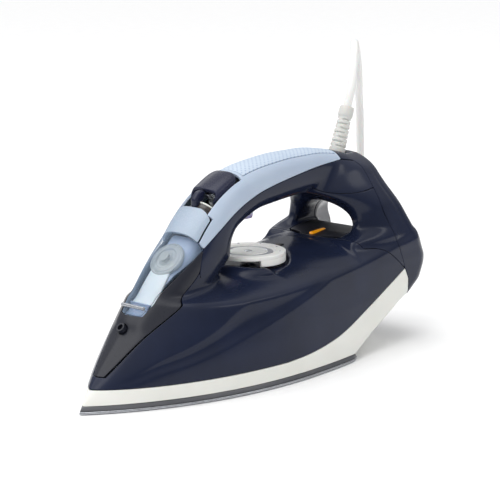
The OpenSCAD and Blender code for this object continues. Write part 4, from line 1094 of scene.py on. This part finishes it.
trough = [(HINGE_X + r * math.cos(a), HINGE_Z + r * math.sin(a))
          for r, angles in ((7.7, sweep), (6.7, sweep[::-1])) for a in angles]
prism("hinge_trough", trough, 19, "well", edge=0.2, corner=0.15, slot="inner_white", sharp=50)
PLUG = frame_at((86.7, 0, 91.7), -45)
lathe("door_plug", rounded([(0.4, -7.5), (10.6, -7.5), (11.8, -6.6), (11.8, -2.2), (13.2, -1.6), (13.2, 0.3),
                            (12.4, 1.0), (11.3, 0.5), (10.3, 1.2), (8.4, 1.5), (7.5, 0.7), (5.6, 0.7),
                            (4.8, 1.5), (2.4, 2.0), (0.4, 2.1)], 0.35, closed=False),
      PLUG, "plug_clear", n=72, body="door", replaces=("fill_plug",), slot="clear_plug", sharp=70)
lathe("plug_stem", rounded([(0.4, 1.9), (3.6, 1.9), (3.4, 3.2), (3.9, 4.3), (0.4, 4.3)], 0.3, closed=False), PLUG,
      "plug_clear", n=48, body="door", slot="clear_plug", sharp=60)

# Plug and tie on the lead
PLUG_AT, PLUG_TURN = (230.6, 123.1, 18.5), -30
TIE_TURN = 118


def plug_place(p):
    a = math.radians(PLUG_TURN)
    x, y, z = np.asarray(p, float).T
    return np.stack([x * math.cos(a) + z * math.sin(a) + PLUG_AT[0],
                     x * math.sin(a) - z * math.cos(a) + PLUG_AT[1], y + PLUG_AT[2]], 1)


lathe("plug_housing", rounded([(3.4, -12), (4.6, -12), (6, 0), (9, 3), (11, 8), (17.5, 14), (18.4, 17), (18.4, 20),
                               (17.9, 20.6), (18.4, 21.2), (18.4, 26), (17.2, 27), (0.5, 27)], 1.2, closed=False),
      plug_place, "lead", n=72, replaces=("plug_body",), slot="plug_white", sharp=60)
pin_profile = rounded([(2.4, 26.8), (2.4, 43.4), (1.4, 44.9), (0.2, 45)], 0.8, closed=False)
for side, letter, nodes_replaced in ((-1, "a", ("plug_pins",)), (1, "b", ())):
    lathe("plug_pin_" + letter, pin_profile, lambda p, s=side: plug_place(p + np.array([9.5 * s, 0, 0])), "brass",
          n=32, replaces=nodes_replaced, slot="pin_brass")


def tie_piece():
    a = math.radians(TIE_TURN)
    loop_out = rounded([(-11.3, -6.5), (11.3, -6.5), (11.3, 7.8), (-11.3, 7.8)], 3.2, n=5)
    loop_in = shrunk(loop_out, 1.1)
    verts = []
    for loop, w in ((loop_in, 2.0), (loop_out, 1.7), (loop_out, -1.7), (loop_in, -2.0)):
        for r, z in loop:
            rad = COIL_R + r
            verts.append((COIL_AT[0] + rad * math.cos(a) - w * math.sin(a),
                          COIL_AT[1] + rad * math.sin(a) + w * math.cos(a), LEAD_D + z + 0.1))
    faces = [f[::-1] for f in ring_faces(4, len(loop_out), True)]
    piece("coil_tie", verts, faces, "tie", replaces=("cord_tie",), slot="tie_dark", sharp=60)


tie_piece()


# Floor, light and sky
FLOOR_HALF, FLOOR_DROP = 120, 0.0002
floor_mesh = bpy.data.meshes.new("floor")
floor_mesh.from_pydata([(x * FLOOR_HALF, y * FLOOR_HALF, 0) for x, y in ((-1, -1), (1, -1), (1, 1), (-1, 1))], [],
                       [(0, 1, 2, 3)])
floor_mesh.materials.append(material("floor_white", "f4f4f4", "f7f7f7", (0.7, 0.8), 40, 0.02, 0.05))
placed("floor", floor_mesh, (0, 0, -FLOOR_DROP))


def softbox(name, at, aim, size, power):
    data = bpy.data.lights.new(name, "AREA")
    data.shape = "RECTANGLE"
    data.size, data.size_y = size
    data.energy = power
    placed(name, data, at, Vector(at) - Vector(aim))


sun_data = bpy.data.lights.new("sun", "SUN")
sun_data.energy = 1.35
sun_data.angle = math.radians(70)
placed("sun", sun_data, back=Vector((-0.45, 0.25, 1.0)))
softbox("overhead", (-0.4, 0.2, 2.4), (0, 0, 0), (2.6, 2.6), 15)
softbox("side_panel", (1.0, -1.9, 1.9), (0, 0, 0.1), (1.2, 0.6), 4.5)
softbox("front_panel", (-2.3, -0.6, 1.4), (0, 0, 0.1), (0.8, 1.2), 6)
softbox("rear_panel", (1.2, 2.2, 1.4), (0, 0, 0.1), (1.4, 0.8), 4)

world = bpy.data.worlds.new("studio")
bpy.context.scene.world = world
world.use_nodes = True
sky = world.node_tree
up = add_node(sky, "SeparateXYZ", "Z", {"Vector": add_node(sky, "TexCoord", "Generated")})
glow = two_colours(sky, up, (0.15, 0.16, 0.19, 1), (1.0, 1.0, 1.0, 1), (0.0, 0.6))
feed(sky, sky.nodes["Background"], {"Strength": 0.8, "Color": glow})
bpy.context.scene.view_settings.view_transform = "Standard"

# Mains lead: its finish, its body, and the CAD cord nodes that it stands for, hidden
mains_lead.data.materials.append(MAT["lead"])
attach(mains_lead, "iron")
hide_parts("cord_lead", "cord_coil", "cord_tail")
